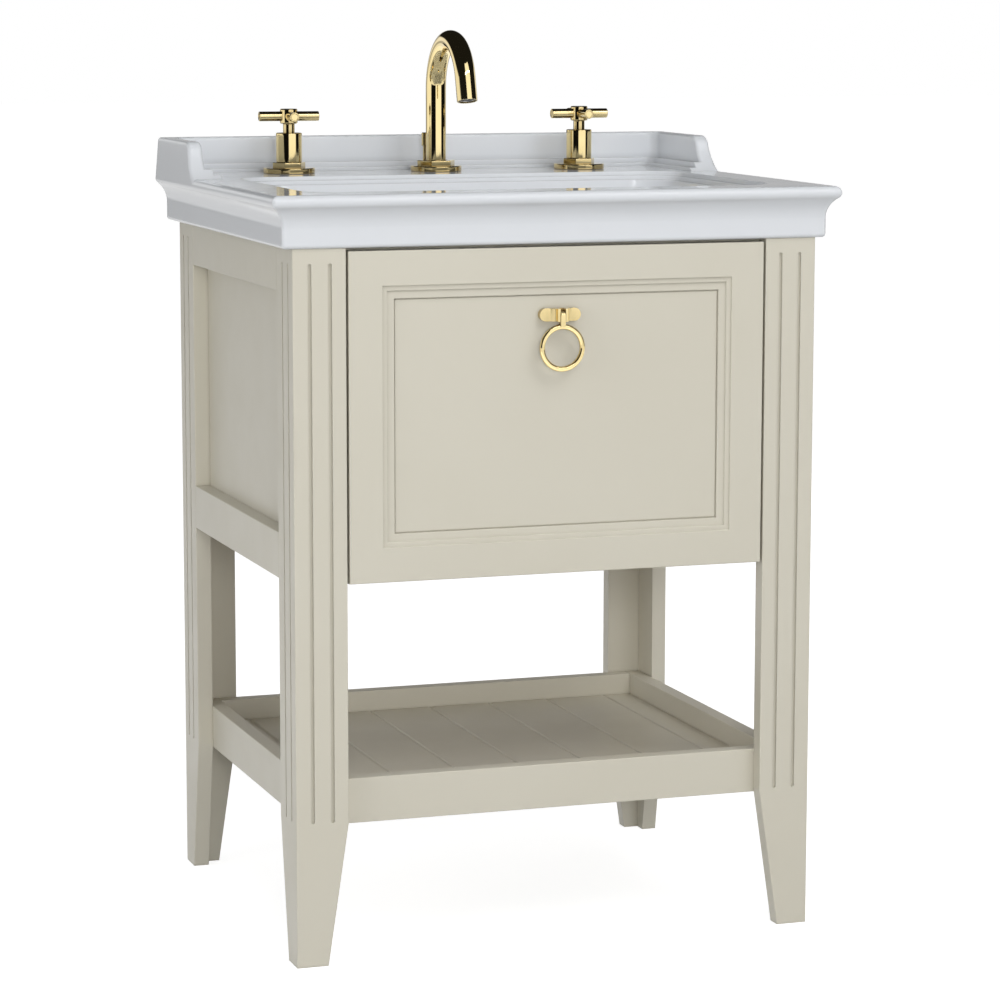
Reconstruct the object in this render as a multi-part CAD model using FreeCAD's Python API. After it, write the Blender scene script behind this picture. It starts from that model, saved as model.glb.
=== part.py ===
import FreeCAD, Part
import math
import os

# A free-standing washstand: four L-section legs carry a box with one deep drawer,
# a slatted tray shelf and a ceramic basin with a three-hole mixer and a pop-up waste.
# Millimetres. X runs to the right as seen from the front, Y to the back, Z up.
# The origin is on the floor, below the middle of the basin.

V = FreeCAD.Vector

# Cabinet
cabinet_width = 600.0
cabinet_depth = 504.0
cabinet_height = 780.0
board = 18.0                      # legs and rails
cut_overrun = 5.0                 # how far every cut runs past the face it opens
arris = 1.0                       # rounding of painted edges
quarter_arc_share = 1 - math.sqrt(0.5)   # of a quarter arc's radius, from its corner to its middle
hexagon_sides = 6
right_corners = 1                 # how a sweep turns a corner: with a mitre

# Legs
leg_front_width = 59.0
leg_side_width = 64.5
foot_width = 35.5
taper_height = 157.0
flute_width = 4.0
flute_depth = 2.5
flute_outer_inset = 18.8          # from the leg's corner to the first flute
flute_inner_inset = 41.2
flute_bottom_height = 159.0
flute_top_gap = 16.0

# Sides and stretchers
side_panel_thickness = 10.0
side_bottom_height = 419.0
side_bottom_rail_height = 50.5
side_top_rail_height = 48.5
stretcher_height = 60.0
stretcher_setback = 2.0           # behind the drawer front
back_top_rail_height = 80.0
wall_hole_radius = 4.0
wall_hole_inset = 41.0            # from the leg's inner edge
wall_hole_drop = 40.0             # below the top of the cabinet

# Tray shelf
shelf_bottom_height = 152.5
shelf_rail_height = 49.5
shelf_floor_thickness = 9.0
shelf_floor_height = 177.0        # top of the floor
shelf_housing_depth = 6.0         # the floor's edge sits this deep in the rails
shelf_joint_count = 7
shelf_edge_board = 35.4           # what shows of the first and the last board
shelf_joint_width = 4.0
shelf_joint_depth = 2.5

# Drawer
drawer_side_gap = 2.5
drawer_top_gap = 3.5
drawer_front_thickness = 20.0
moulding_outer_inset = 38.0       # from the drawer front's edge to each step
moulding_middle_inset = 43.5
moulding_inner_inset = 52.0
moulding_step_depth = 2.2
moulding_bevel = 1.2
drawer_back_gap = 36.0            # between the box and the back rails
drawer_side_thickness = 13.0
drawer_bowl_gap = 38.0            # between the box and the bowl above it
drawer_side_drop = 17.0           # box starts this far above the front's lower edge
drawer_bottom_thickness = 10.0
drawer_bottom_raise = 10.0
recess_width = 116.0              # cut-out that lets the waste pipe through
recess_wall = 3.0
recess_corner = 30.0
recess_clear = 55.0               # from the waste's axis to the front of the cut-out

# Drawer runners
runner_end_gap = 25.5             # from the runner's end to the end of the box
runner_setback = 4.5              # behind the drawer front
runner_height = 45.0
runner_wall = 1.4
runner_play = 0.4
runner_flange = 10.0
runner_middle_flange = 7.3
runner_drawer_flange = 7.0
runner_space = 13.0               # between the drawer's side and its support
runner_support_thickness = 34.0   # bearer between the side panel and the runner
runner_support_height = 60.0

# Ring pull
pull_drop = 73.7                  # plate's middle below the drawer front's top
pull_plate_length = 47.0
pull_plate_height = 14.2
pull_plate_thickness = 7.5
pull_ear_thickness = 2.9          # boss on each side of the stem
pull_boss_stand = 8.8             # boss in front of the plate, in a hollow sweep
pull_pivot_stand = 6.0            # pivot in front of the plate
pull_stem_width = 5.7
pull_stem_radius = 3.9
pull_side_play = 0.2
pull_pin_radius = 1.5
pull_pin_play = 0.05
ring_radius = 23.35
ring_wire_radius = 2.6
ring_drop = 35.6                  # ring's centre below the pivot

# Basin
basin_side_overhang = 25.0
basin_front_overhang = 17.0
basin_back_overhang = 14.0
basin_rim_height = 57.0
bullnose_radius = 7.3
bullnose_under_angle = 60.0
fascia_inset = 13.5
cavetto_height = 22.0             # foot of the hollow moulding above the basin's underside
foot_round = 4.0
corner_round = 3.0                # softening of the mitred corners
corner_round_share = 0.8          # most of the foot's rounding that a corner may take
apron_thickness = 14.0
seat_ledge_width = 12.0
seat_ledge_height = 12.0
deck_thickness = 14.0
rim_width = 54.0
deck_depth = 156.0
step_width = 9.0
step_drop = 4.5
step_slope = 2.0
bowl_corner = 42.0
bowl_depth = 147.0
bowl_lean = 45.0
bowl_floor_round = 34.0
floor_round_share = 1.2           # most of the floor beside the waste that its rounding may take
bowl_wall = 12.0
drain_hole_radius = 22.5
drain_floor_inset = 64.5          # from the floor's back edge to the waste's axis
upstand_height = 41.0
upstand_thickness = 18.0
wing_thickness = 20.0
wing_lean = 4.0                   # a wing's outer face leans in by this much at its top
wing_length = 139.0               # straight top of a wing, from the basin's back
wing_top_radius = 14.0
wing_foot_radius = 58.0
upstand_corner = 12.0
upstand_step_width = 8.0
upstand_ledge_height = 10.0
upstand_low_ledge_height = 4.0
upstand_round = 4.0

# Taps
tap_back_inset = 78.0
tap_spacing = 182.0
tap_hole_radius = 17.0
flange_radius = 30.6
flange_height = 6.5
flange_round = 1.2
collar_height = 6.5
sleeve_hex_flats = 34.4
spout_hex_flats = 40.6
sleeve_radius = 15.3
sleeve_height = 34.5
valve_radius = 11.8
valve_reach = 22.0                # valve's height inside the sleeve
valve_drop = 80.0                 # lower end of the valve below the deck
inlet_radius = 10.4
inlet_length = 20.0
outlet_radius = 7.5
outlet_reach = 26.0
outlet_drop = 65.0
nut_flats = 36.0
nut_height = 10.0
washer_radius = 20.5
washer_height = 3.0
thread_play = 0.1
spindle_radius = 6.8
spindle_play = 0.05
spindle_gap = 2.0                 # between the spindle and the valve below it
neck_height = 10.6                # bare spindle between sleeve and hub
hub_radius = 10.3
hub_height = 17.5
hub_round = 1.5
arm_radius = 5.7
arm_length = 35.5
arm_chamfer = 0.6
arm_count = 4
hot_handle_turn = -4.0            # degrees, as the handle was left
cold_handle_turn = 0.0

# Spout
spout_radius = 12.0
spout_wall = 1.5
spout_rise = 92.0                 # straight column above the flange
spout_bend_radius = 57.0
spout_bend_angle = 165.0
spout_tip_length = 28.0
spout_play = 0.1
spout_lift = 0.3
spigot_play = 0.05
spigot_height = 25.0
aerator_length = 9.0
aerator_recess = 1.5
aerator_lip = 1.6

# Supply hoses
hose_radius = 6.0
hose_lead = 20.0
hose_slope = 28.0
hose_sag = 22.0
hose_bend = 24.0

# Pop-up waste
waste_flange_radius = 32.0
waste_flange_height = 3.0
waste_outer_radius = 20.5
waste_inner_radius = 17.5
waste_thread_length = 50.0
waste_chamber_length = 40.0
waste_tail_radius = 16.0
waste_tail_wall = 1.5
waste_tail_length = 55.0
waste_gasket_height = 4.0
waste_gasket_radius = 30.0
waste_nut_flats = 52.0
waste_nut_height = 12.0
port_reach = 38.0                 # end of the side port from the waste's axis
port_radius = 10.5
port_play = 0.3
pivot_reach = 26.0
ball_radius = 6.2
lever_radius = 2.4
lever_half_swing = 6.0            # degrees each side of level
lever_overhang = 9.0
strap_thickness = 2.0
strap_width = 22.0
strap_top_gap = 90.0              # top of the strap below the deck
strap_foot = 14.0
strap_hole_radius = 4.6
strap_clamp_radius = 6.0
strap_clamp_height = 14.0
strap_gap = 0.5
lift_rod_radius = 2.5
lift_rod_play = 0.6
lift_rod_side = 6.3               # left of the spout's axis
lift_rod_back = 23.7              # behind the spout's axis
lift_rod_overlap = 6.0            # rod's end below the clamp
knob_radius = 4.2
knob_height = 16.0
knob_rest_height = 29.0           # foot of the knob above the deck
plug_radius = 28.0
plug_height = 4.5
plug_dome = 2.0
plug_lift = 5.8                   # plug's underside above the seat when open
plug_stem_radius = 3.5
plug_fin_thickness = 2.0
plug_fin_height = 26.0
plug_fin_play = 0.8
plug_rest_play = 0.7

# Places worked out from the sizes above
basin_width = cabinet_width + 2 * basin_side_overhang
basin_depth = basin_front_overhang + cabinet_depth + basin_back_overhang
left_x = -cabinet_width / 2
right_x = cabinet_width / 2
front_y = -basin_depth / 2 + basin_front_overhang
back_y = front_y + cabinet_depth
rim_z = cabinet_height + basin_rim_height
upstand_z = rim_z + upstand_height
basin_back_y = basin_depth / 2
tap_y = basin_back_y - tap_back_inset
panel_inner_x = right_x - board - side_panel_thickness
leg_inner_x = right_x - leg_front_width
drawer_back_y = front_y + drawer_front_thickness
drawer_low_z = side_bottom_height
drawer_top_z = cabinet_height - drawer_top_gap
drawer_half = leg_inner_x - drawer_side_gap
moulding_insets = (moulding_outer_inset, moulding_middle_inset, moulding_inner_inset)
bowl_front_y = -basin_depth / 2 + rim_width
bowl_back_y = basin_back_y - deck_depth
bowl_half = basin_width / 2 - rim_width
bowl_floor_z = rim_z - bowl_depth
bowl_low_z = bowl_floor_z - bowl_wall
steps_inset = 2 * step_width
floor_inset = steps_inset + bowl_lean
drain_y = bowl_back_y - floor_inset - drain_floor_inset
drain_front_room = drain_y - bowl_front_y - floor_inset
floor_room = min(drain_floor_inset, drain_front_room) - waste_flange_radius
floor_round = min(bowl_floor_round, floor_room * floor_round_share)
support_x = panel_inner_x - runner_support_thickness
box_half = support_x - runner_space
box_low_z = drawer_low_z + drawer_side_drop
box_top_z = bowl_low_z - drawer_bowl_gap
box_end_y = back_y - board - drawer_back_gap
runner_z = (box_low_z + box_top_z) / 2
runner_y = drawer_back_y + runner_setback
runner_end_y = box_end_y - runner_end_gap
waste_seat_z = bowl_floor_z + waste_flange_height
chamber_top_z = bowl_floor_z - waste_thread_length
chamber_low_z = chamber_top_z - waste_chamber_length
lever_z = (chamber_top_z + chamber_low_z) / 2
pivot_y = drain_y + pivot_reach
lift_x = -lift_rod_side
lift_y = tap_y + lift_rod_back
strap_y = lift_y + lift_rod_radius + strap_gap
lever_arm = strap_y + strap_thickness / 2 - pivot_y
flange_top_z = rim_z + flange_height
collar_top_z = flange_top_z + collar_height
sleeve_top_z = collar_top_z + sleeve_height
hub_low_z = sleeve_top_z + neck_height
arm_z = hub_low_z + hub_height / 2
deck_low_z = rim_z - deck_thickness
hose_z = rim_z - outlet_drop


def box(x0, x1, y0, y1, z0, z1):
    """Block between two corners."""
    return Part.makeBox(x1 - x0, y1 - y0, z1 - z0, V(x0, y0, z0))


def rod(radius, start, end):
    """Round bar between two points."""
    return Part.makeCylinder(radius, (end - start).Length, start, end - start)


def tube(outer, inner, start, end):
    """Round tube between two points."""
    return rod(outer, start, end).cut(rod(inner, start, end))


def prism(points, direction):
    """Polygon pushed along a direction."""
    wire = Part.makePolygon(list(points) + [points[0]])
    return Part.Face(wire).extrude(direction)


def hexagon(flats, x, y, z0, z1):
    """Upright hexagonal bar."""
    corner = flats / 2 / math.cos(math.pi / hexagon_sides)
    turns = [2 * math.pi * index / hexagon_sides for index in range(hexagon_sides)]
    points = [V(x + corner * math.cos(a), y + corner * math.sin(a), z0) for a in turns]
    return prism(points, V(0, 0, z1 - z0))


def rounded_rectangle(x0, x1, y0, y1, z, radius):
    """Level outline with four round corners."""
    edges = []
    corners = ((x1, y0, -1, 1), (x1, y1, -1, -1), (x0, y1, 1, -1), (x0, y0, 1, 1))
    starts, ends = [], []
    for index, (x, y, sx, sy) in enumerate(corners):
        along_x = V(x + sx * radius, y, z)
        along_y = V(x, y + sy * radius, z)
        inset = radius * quarter_arc_share
        middle = V(x + sx * inset, y + sy * inset, z)
        first, last = (along_x, along_y) if index % 2 == 0 else (along_y, along_x)
        edges.append(Part.Arc(first, middle, last).toShape())
        starts.append(first)
        ends.append(last)
    for index in range(len(corners)):
        edges.append(Part.makeLine(ends[index], starts[(index + 1) % len(corners)]))
    return Part.Wire(Part.__sortEdges__(edges))


def upright_slab(x0, x1, y0, y1, z0, z1, radius):
    """Block with four round upright edges."""
    outline = rounded_rectangle(x0, x1, y0, y1, z0, radius)
    return Part.Face(outline).extrude(V(0, 0, z1 - z0))


def mirror_left_right(shape):
    """The same piece on the other side of the cabinet."""
    return shape.mirror(V(0, 0, 0), V(1, 0, 0))


def mirror_front_back(shape):
    """The same piece at the other end of the cabinet's depth."""
    return shape.mirror(V(0, (front_y + back_y) / 2, 0), V(0, 1, 0))


def edges_where(shape, test):
    """Edges whose both ends satisfy a test."""
    return [e for e in shape.Edges if all(test(v.Point) for v in e.Vertexes)]


def near(a, b):
    """Whether two lengths are the same, next to the smallest size in the model."""
    return abs(a - b) < spindle_play / 10


def round_edges(shape, radius, test):
    """Fillet the edges whose both ends satisfy a test."""
    return shape.makeFillet(radius, edges_where(shape, test))


def bent_path(points, radius):
    """Straight runs joined by tangent arcs of one radius."""
    edges = []
    start = points[0]
    for before, corner, after in zip(points, points[1:], points[2:]):
        inward = (before - corner).normalize()
        outward = (after - corner).normalize()
        turn = math.pi - inward.getAngle(outward)
        setback = radius * math.tan(turn / 2)
        first = corner + inward * setback
        last = corner + outward * setback
        bisector = (inward + outward).normalize()
        middle = corner + bisector * (radius / math.cos(turn / 2) - radius)
        edges.append(Part.makeLine(start, first))
        edges.append(Part.Arc(first, middle, last).toShape())
        start = last
    edges.append(Part.makeLine(start, points[-1]))
    return Part.Wire(edges)


def sweep_round(path, radius):
    """Round bar along a path."""
    start = path.Edges[0].Vertexes[0].Point
    along = path.Edges[0].tangentAt(path.Edges[0].FirstParameter)
    section = Part.Wire(Part.makeCircle(radius, start, along))
    return path.makePipeShell([section], True, True)


def flute(across, along, low, high):
    """Round-ended groove cutter; across is its middle, along points into the board."""
    half = flute_width / 2
    start = across - along * cut_overrun
    end = across + along * flute_depth
    side = along.cross(V(0, 0, 1)) * half
    bottom = V(0, 0, low + half)
    top = V(0, 0, high - half)
    corners = [start + side + bottom, start - side + bottom, start - side + top, start + side + top]
    body = prism(corners, end - start)
    for level in (bottom, top):
        body = body.fuse(rod(half, start + level, end + level))
    return body.removeSplitter()


def leg():
    """Front left leg: two boards in an L, both tapering on the inside towards the floor."""
    top = cabinet_height
    across = [V(left_x, front_y, 0), V(left_x + foot_width, front_y, 0),
              V(left_x + leg_front_width, front_y, taper_height),
              V(left_x + leg_front_width, front_y, top), V(left_x, front_y, top)]
    along = [V(left_x, front_y, 0), V(left_x, front_y + foot_width, 0),
             V(left_x, front_y + leg_side_width, taper_height),
             V(left_x, front_y + leg_side_width, top), V(left_x, front_y, top)]
    body = prism(across, V(0, board, 0)).fuse(prism(along, V(board, 0, 0))).removeSplitter()
    outside = [e for e in body.Edges if e.Vertexes[0].Z != e.Vertexes[1].Z
               and all(near(v.X, left_x) or near(v.Y, front_y) for v in e.Vertexes)]
    body = body.makeFillet(arris, outside)
    high = top - flute_top_gap
    for inset in (flute_outer_inset, flute_inner_inset):
        body = body.cut(flute(V(left_x + inset, front_y, 0), V(0, 1, 0), flute_bottom_height, high))
        body = body.cut(flute(V(left_x, front_y + inset, 0), V(1, 0, 0), flute_bottom_height, high))
    return body


def legs():
    """The four legs, mirrored from one."""
    front_left = leg()
    back_left = mirror_front_back(front_left)
    return {"leg_front_left": front_left,
            "leg_front_right": mirror_left_right(front_left),
            "leg_back_left": back_left,
            "leg_back_right": mirror_left_right(back_left)}


def cabinet_sides():
    """Recessed side panels with a rail above and below, flush with the legs."""
    rail_front = front_y + leg_side_width
    rail_back = back_y - leg_side_width
    rail_inner = left_x + board
    low = side_bottom_height
    left = {
        "side_panel": box(rail_inner, rail_inner + side_panel_thickness,
                          front_y + board, back_y - board, low, cabinet_height),
        "side_bottom_rail": box(left_x, rail_inner, rail_front, rail_back,
                                low, low + side_bottom_rail_height),
        "side_top_rail": box(left_x, rail_inner, rail_front, rail_back,
                             cabinet_height - side_top_rail_height, cabinet_height)}
    pieces = {}
    for name, shape in left.items():
        if name != "side_panel":
            shape = round_edges(shape, arris, lambda p: near(p.x, left_x))
        pieces[name + "_left"] = shape
        pieces[name + "_right"] = mirror_left_right(shape)
    return pieces


def cross_rails():
    """Stretcher behind the drawer front, and the two back rails; the upper one is fixed to the wall."""
    stretcher_y = drawer_back_y + stretcher_setback
    stretcher = box(-panel_inner_x, panel_inner_x, stretcher_y, stretcher_y + board,
                    cabinet_height - stretcher_height, cabinet_height)
    top_rail = box(-leg_inner_x, leg_inner_x, back_y - board, back_y,
                   cabinet_height - back_top_rail_height, cabinet_height)
    for side in (-1, 1):
        start = V(side * (leg_inner_x - wall_hole_inset), back_y - board - cut_overrun,
                  cabinet_height - wall_hole_drop)
        end = V(start.x, back_y + cut_overrun, start.z)
        top_rail = top_rail.cut(rod(wall_hole_radius, start, end))
    bottom_rail = box(-leg_inner_x, leg_inner_x, back_y - board, back_y,
                      side_bottom_height, side_bottom_height + side_bottom_rail_height)
    return {"front_stretcher": stretcher, "back_top_rail": top_rail, "back_bottom_rail": bottom_rail}


def shelf():
    """Tray of four rails inside the legs, with a boarded floor housed in them."""
    outer_x = right_x - board
    inner_x = outer_x - board
    outer_front = front_y + board
    inner_front = outer_front + board
    outer_back = back_y - board
    inner_back = outer_back - board
    low = shelf_bottom_height
    high = low + shelf_rail_height
    floor_low = shelf_floor_height - shelf_floor_thickness
    floor = box(-inner_x - shelf_housing_depth, inner_x + shelf_housing_depth,
                inner_front - shelf_housing_depth, inner_back + shelf_housing_depth,
                floor_low, shelf_floor_height)
    rails = {
        "shelf_left_rail": box(-outer_x, -inner_x, outer_front, outer_back, low, high),
        "shelf_right_rail": box(inner_x, outer_x, outer_front, outer_back, low, high),
        "shelf_front_rail": box(-inner_x, inner_x, outer_front, inner_front, low, high),
        "shelf_back_rail": box(-inner_x, inner_x, inner_back, outer_back, low, high)}
    pieces = {name: round_edges(rail, arris, lambda p: near(p.z, high)).cut(floor)
              for name, rail in rails.items()}
    half = shelf_joint_width / 2
    last_x = inner_x - shelf_edge_board
    for index in range(shelf_joint_count):
        x = -last_x + 2 * last_x * index / (shelf_joint_count - 1)
        notch = [V(x - half, inner_front, shelf_floor_height), V(x + half, inner_front, shelf_floor_height),
                 V(x, inner_front, shelf_floor_height - shelf_joint_depth)]
        floor = floor.cut(prism(notch, V(0, inner_back - inner_front, 0)))
    pieces["shelf_floor"] = floor
    return pieces


def sunk_panel(half, low, high, inset, depth):
    """Cutter for one step of the drawer front's moulding, with a bevelled edge."""
    top = front_y + depth - moulding_step_depth
    bottom = front_y + depth
    outlines = []
    for y, edge in ((top, inset), (bottom, inset + moulding_bevel)):
        x = half - edge
        points = [V(-x, y, low + edge), V(x, y, low + edge), V(x, y, high - edge), V(-x, y, high - edge)]
        outlines.append(Part.makePolygon(points + [points[0]]))
    return Part.makeLoft(outlines, True, True)


def drawer_front():
    """Inset front with a sunk panel inside a stepped moulding."""
    body = box(-drawer_half, drawer_half, front_y, drawer_back_y, drawer_low_z, drawer_top_z)
    body = round_edges(body, arris, lambda p: near(p.y, front_y))
    for index, inset in enumerate(moulding_insets):
        depth = (index + 1) * moulding_step_depth
        body = body.cut(sunk_panel(drawer_half, drawer_low_z, drawer_top_z, inset, depth))
    return body


def recess_outline(grow, z0, z1):
    """Solid filling the drawer's cut-out, widened by a wall."""
    half = recess_width / 2 - recess_wall + grow
    start = drain_y - recess_clear + recess_wall - grow
    end = box_end_y + recess_corner + cut_overrun
    return upright_slab(-half, half, start, end, z0, z1, recess_corner - recess_wall + grow)


def drawer():
    """Front, sides, split back, bottom and the walls round the cut-out for the waste."""
    inner_x = box_half - drawer_side_thickness
    bottom_low = box_low_z + drawer_bottom_raise
    bottom_top = bottom_low + drawer_bottom_thickness
    side = box(-box_half, -inner_x, drawer_back_y, box_end_y, box_low_z, box_top_z)
    bottom = box(-inner_x, inner_x, drawer_back_y, box_end_y, bottom_low, bottom_top)
    bottom = bottom.cut(recess_outline(0, bottom_low - cut_overrun, bottom_top + cut_overrun))
    walls = recess_outline(recess_wall, bottom_top, box_top_z)
    walls = walls.cut(recess_outline(0, bottom_top, box_top_z))
    behind = box(-box_half, box_half, box_end_y, box_end_y + recess_corner + 2 * cut_overrun,
                 box_low_z, box_top_z)
    walls = walls.cut(behind)
    back = box(-inner_x, -recess_width / 2, box_end_y - drawer_side_thickness, box_end_y,
               bottom_top, box_top_z)
    return {"drawer_front": drawer_front(),
            "drawer_side_left": side,
            "drawer_side_right": mirror_left_right(side),
            "drawer_back": Part.makeCompound([back, mirror_left_right(back)]),
            "drawer_bottom": bottom,
            "drawer_recess": walls}


def channel(web_x, flange_reach, half_height):
    """One runner member on the right: an upright web with two flanges."""
    ahead = 1 if flange_reach > 0 else -1
    web = box(min(web_x, web_x + ahead * runner_wall), max(web_x, web_x + ahead * runner_wall),
              runner_y, runner_end_y, runner_z - half_height, runner_z + half_height)
    body = web
    for side in (-1, 1):
        outer = runner_z + side * half_height
        inner = outer - side * runner_wall
        flange = box(min(web_x, web_x + flange_reach), max(web_x, web_x + flange_reach),
                     runner_y, runner_end_y, min(outer, inner), max(outer, inner))
        body = body.fuse(flange)
    return body.removeSplitter()


def runners():
    """Telescopic runners in three nested members, and the wooden bearers behind them."""
    outer_half = runner_height / 2
    middle_half = outer_half - runner_wall - runner_play
    inner_half = middle_half - runner_wall - runner_play
    middle_x = support_x - runner_wall - 2 * runner_play
    members = {"cabinet_runners": channel(support_x, -runner_flange, outer_half),
               "middle_runners": channel(middle_x, -runner_middle_flange, middle_half),
               "drawer_runners": channel(box_half, runner_drawer_flange, inner_half)}
    pieces = {name: Part.makeCompound([mirror_left_right(shape), shape]) for name, shape in members.items()}
    half = runner_support_height / 2
    bearer = box(-panel_inner_x, -support_x, runner_y, back_y - board, runner_z - half, runner_z + half)
    pieces["runner_bearer_left"] = bearer
    pieces["runner_bearer_right"] = mirror_left_right(bearer)
    return pieces


def pull_plate_blank(panel_y, plate_y, plate_z, boss_half):
    """Capsule plate whose middle sweeps out into a boss."""
    end = pull_plate_height / 2
    reach = pull_plate_length / 2 - end
    stand = pull_boss_stand
    boss_y = plate_y - stand
    capsule = box(-reach, reach, boss_y, panel_y, plate_z - end, plate_z + end)
    for side in (-1, 1):
        capsule = capsule.fuse(rod(end, V(side * reach, boss_y, plate_z), V(side * reach, panel_y, plate_z)))
    capsule = capsule.removeSplitter()
    low = plate_z - end
    inset = stand * quarter_arc_share
    sweeps = []
    for side in (1, -1):
        foot = V(side * (boss_half + stand), plate_y, low)
        middle = V(side * (boss_half + inset), plate_y - inset, low)
        top = V(side * boss_half, boss_y, low)
        sweeps.append((foot, middle, top))
    (right_foot, right_middle, right_top), (left_foot, left_middle, left_top) = sweeps
    half = pull_plate_length / 2
    edges = [Part.Arc(right_foot, right_middle, right_top).toShape(), Part.makeLine(right_top, left_top),
             Part.Arc(left_top, left_middle, left_foot).toShape()]
    corners = [V(-half, plate_y, low), V(-half, panel_y, low), V(half, panel_y, low), V(half, plate_y, low)]
    plan = closed_prism(edges, corners, V(0, 0, pull_plate_height))
    return capsule.common(plan).removeSplitter()


def ring_pull():
    """Plate with a slotted boss, a pin through it and the ring that hangs from the pin by its stem."""
    panel_y = front_y + len(moulding_insets) * moulding_step_depth
    plate_z = drawer_top_z - pull_drop
    plate_y = panel_y - pull_plate_thickness
    pivot = V(0, plate_y - pull_pivot_stand, plate_z)
    inner = pull_stem_width / 2 + pull_side_play
    outer = inner + pull_ear_thickness
    plate = pull_plate_blank(panel_y, plate_y, plate_z, outer)
    slot_end = plate_y - pull_boss_stand - cut_overrun
    plate = plate.cut(box(-inner, inner, slot_end, plate_y,
                          plate_z - pull_plate_height, plate_z + pull_plate_height))
    pin_start = V(-outer, pivot.y, pivot.z)
    pin_end = V(outer, pivot.y, pivot.z)
    pin = rod(pull_pin_radius, pin_start, pin_end)
    plate = plate.cut(pin)
    half = pull_stem_width / 2
    centre = V(0, pivot.y, pivot.z - ring_drop)
    stem_low = centre.z + ring_radius
    stem = box(-half, half, pivot.y - pull_stem_radius, pivot.y + pull_stem_radius, stem_low, pivot.z)
    stem = stem.fuse(rod(pull_stem_radius, V(-half, pivot.y, pivot.z), V(half, pivot.y, pivot.z)))
    stem = stem.removeSplitter().cut(rod(pull_pin_radius + pull_pin_play, pin_start, pin_end))
    ring = Part.makeTorus(ring_radius, ring_wire_radius, centre, V(0, 1, 0))
    return {"pull_plate": plate, "pull_pin": pin, "pull_ring": ring.fuse(stem).removeSplitter()}


def moulding(place):
    """Edges of the basin's outside from its flat top down to its underside.

    place turns an inset from the outermost line and a height into a point.
    """
    middle_z = rim_z - bullnose_radius
    under = math.radians(bullnose_under_angle)
    under_inset = bullnose_radius * (1 - math.cos(under))
    under_z = middle_z - bullnose_radius * math.sin(under)
    foot_z = cabinet_height + cavetto_height
    span = fascia_inset - under_inset
    rise = under_z - foot_z
    hollow = (span ** 2 + rise ** 2) / (2 * span)
    half_turn = math.asin(rise / hollow) / 2
    hollow_inset = fascia_inset - hollow * (1 - math.cos(half_turn))
    hollow_z = foot_z + hollow * math.sin(half_turn)
    slack = foot_round * quarter_arc_share
    low_z = cabinet_height + foot_round
    return [Part.Arc(place(bullnose_radius, rim_z), place(0, middle_z),
                     place(under_inset, under_z)).toShape(),
            Part.Arc(place(under_inset, under_z), place(hollow_inset, hollow_z),
                     place(fascia_inset, foot_z)).toShape(),
            Part.makeLine(place(fascia_inset, foot_z), place(fascia_inset, low_z)),
            Part.Arc(place(fascia_inset, low_z), place(fascia_inset + slack, cabinet_height + slack),
                     place(fascia_inset + foot_round, cabinet_height)).toShape()]


def closed_wire(edges, corners):
    """Close an open run of edges through some corners."""
    first = edges[0].Vertexes[0].Point
    last = edges[-1].Vertexes[-1].Point
    stops = [last] + corners + [first]
    lines = [Part.makeLine(a, b) for a, b in zip(stops, stops[1:])]
    return Part.Wire(edges + lines)


def closed_prism(edges, corners, direction):
    """Push the face inside a closed run of edges and corners along a direction."""
    return Part.Face(closed_wire(edges, corners)).extrude(direction)


def basin_block():
    """Rim and apron: the moulding runs along the front and both sides and is mitred at the corners."""
    half = basin_width / 2
    front = -basin_depth / 2
    inner = rim_width / 2
    path = Part.makePolygon([V(-half, basin_back_y, cabinet_height), V(-half, front, cabinet_height),
                             V(half, front, cabinet_height), V(half, basin_back_y, cabinet_height)])
    edges = moulding(lambda inset, z: V(inset - half, basin_back_y, z))
    section = closed_wire(edges, [V(inner - half, basin_back_y, cabinet_height),
                                  V(inner - half, basin_back_y, rim_z)])
    border = path.makePipeShell([section], True, False, right_corners).removeSplitter()

    def on_mitre(point):
        return near(half - abs(point.x), point.y - front)

    mitres = [e for e in border.Edges if all(on_mitre(v.Point) for v in e.Vertexes)
              and half - abs(e.CenterOfMass.x) < inner and e.CenterOfMass.y < front + inner]
    border = border.makeFillet(min(corner_round, foot_round * corner_round_share), mitres)
    middle = box(inner - half, half - inner, front + inner, basin_back_y, cabinet_height, rim_z)
    return border.fuse(middle).removeSplitter()


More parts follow.
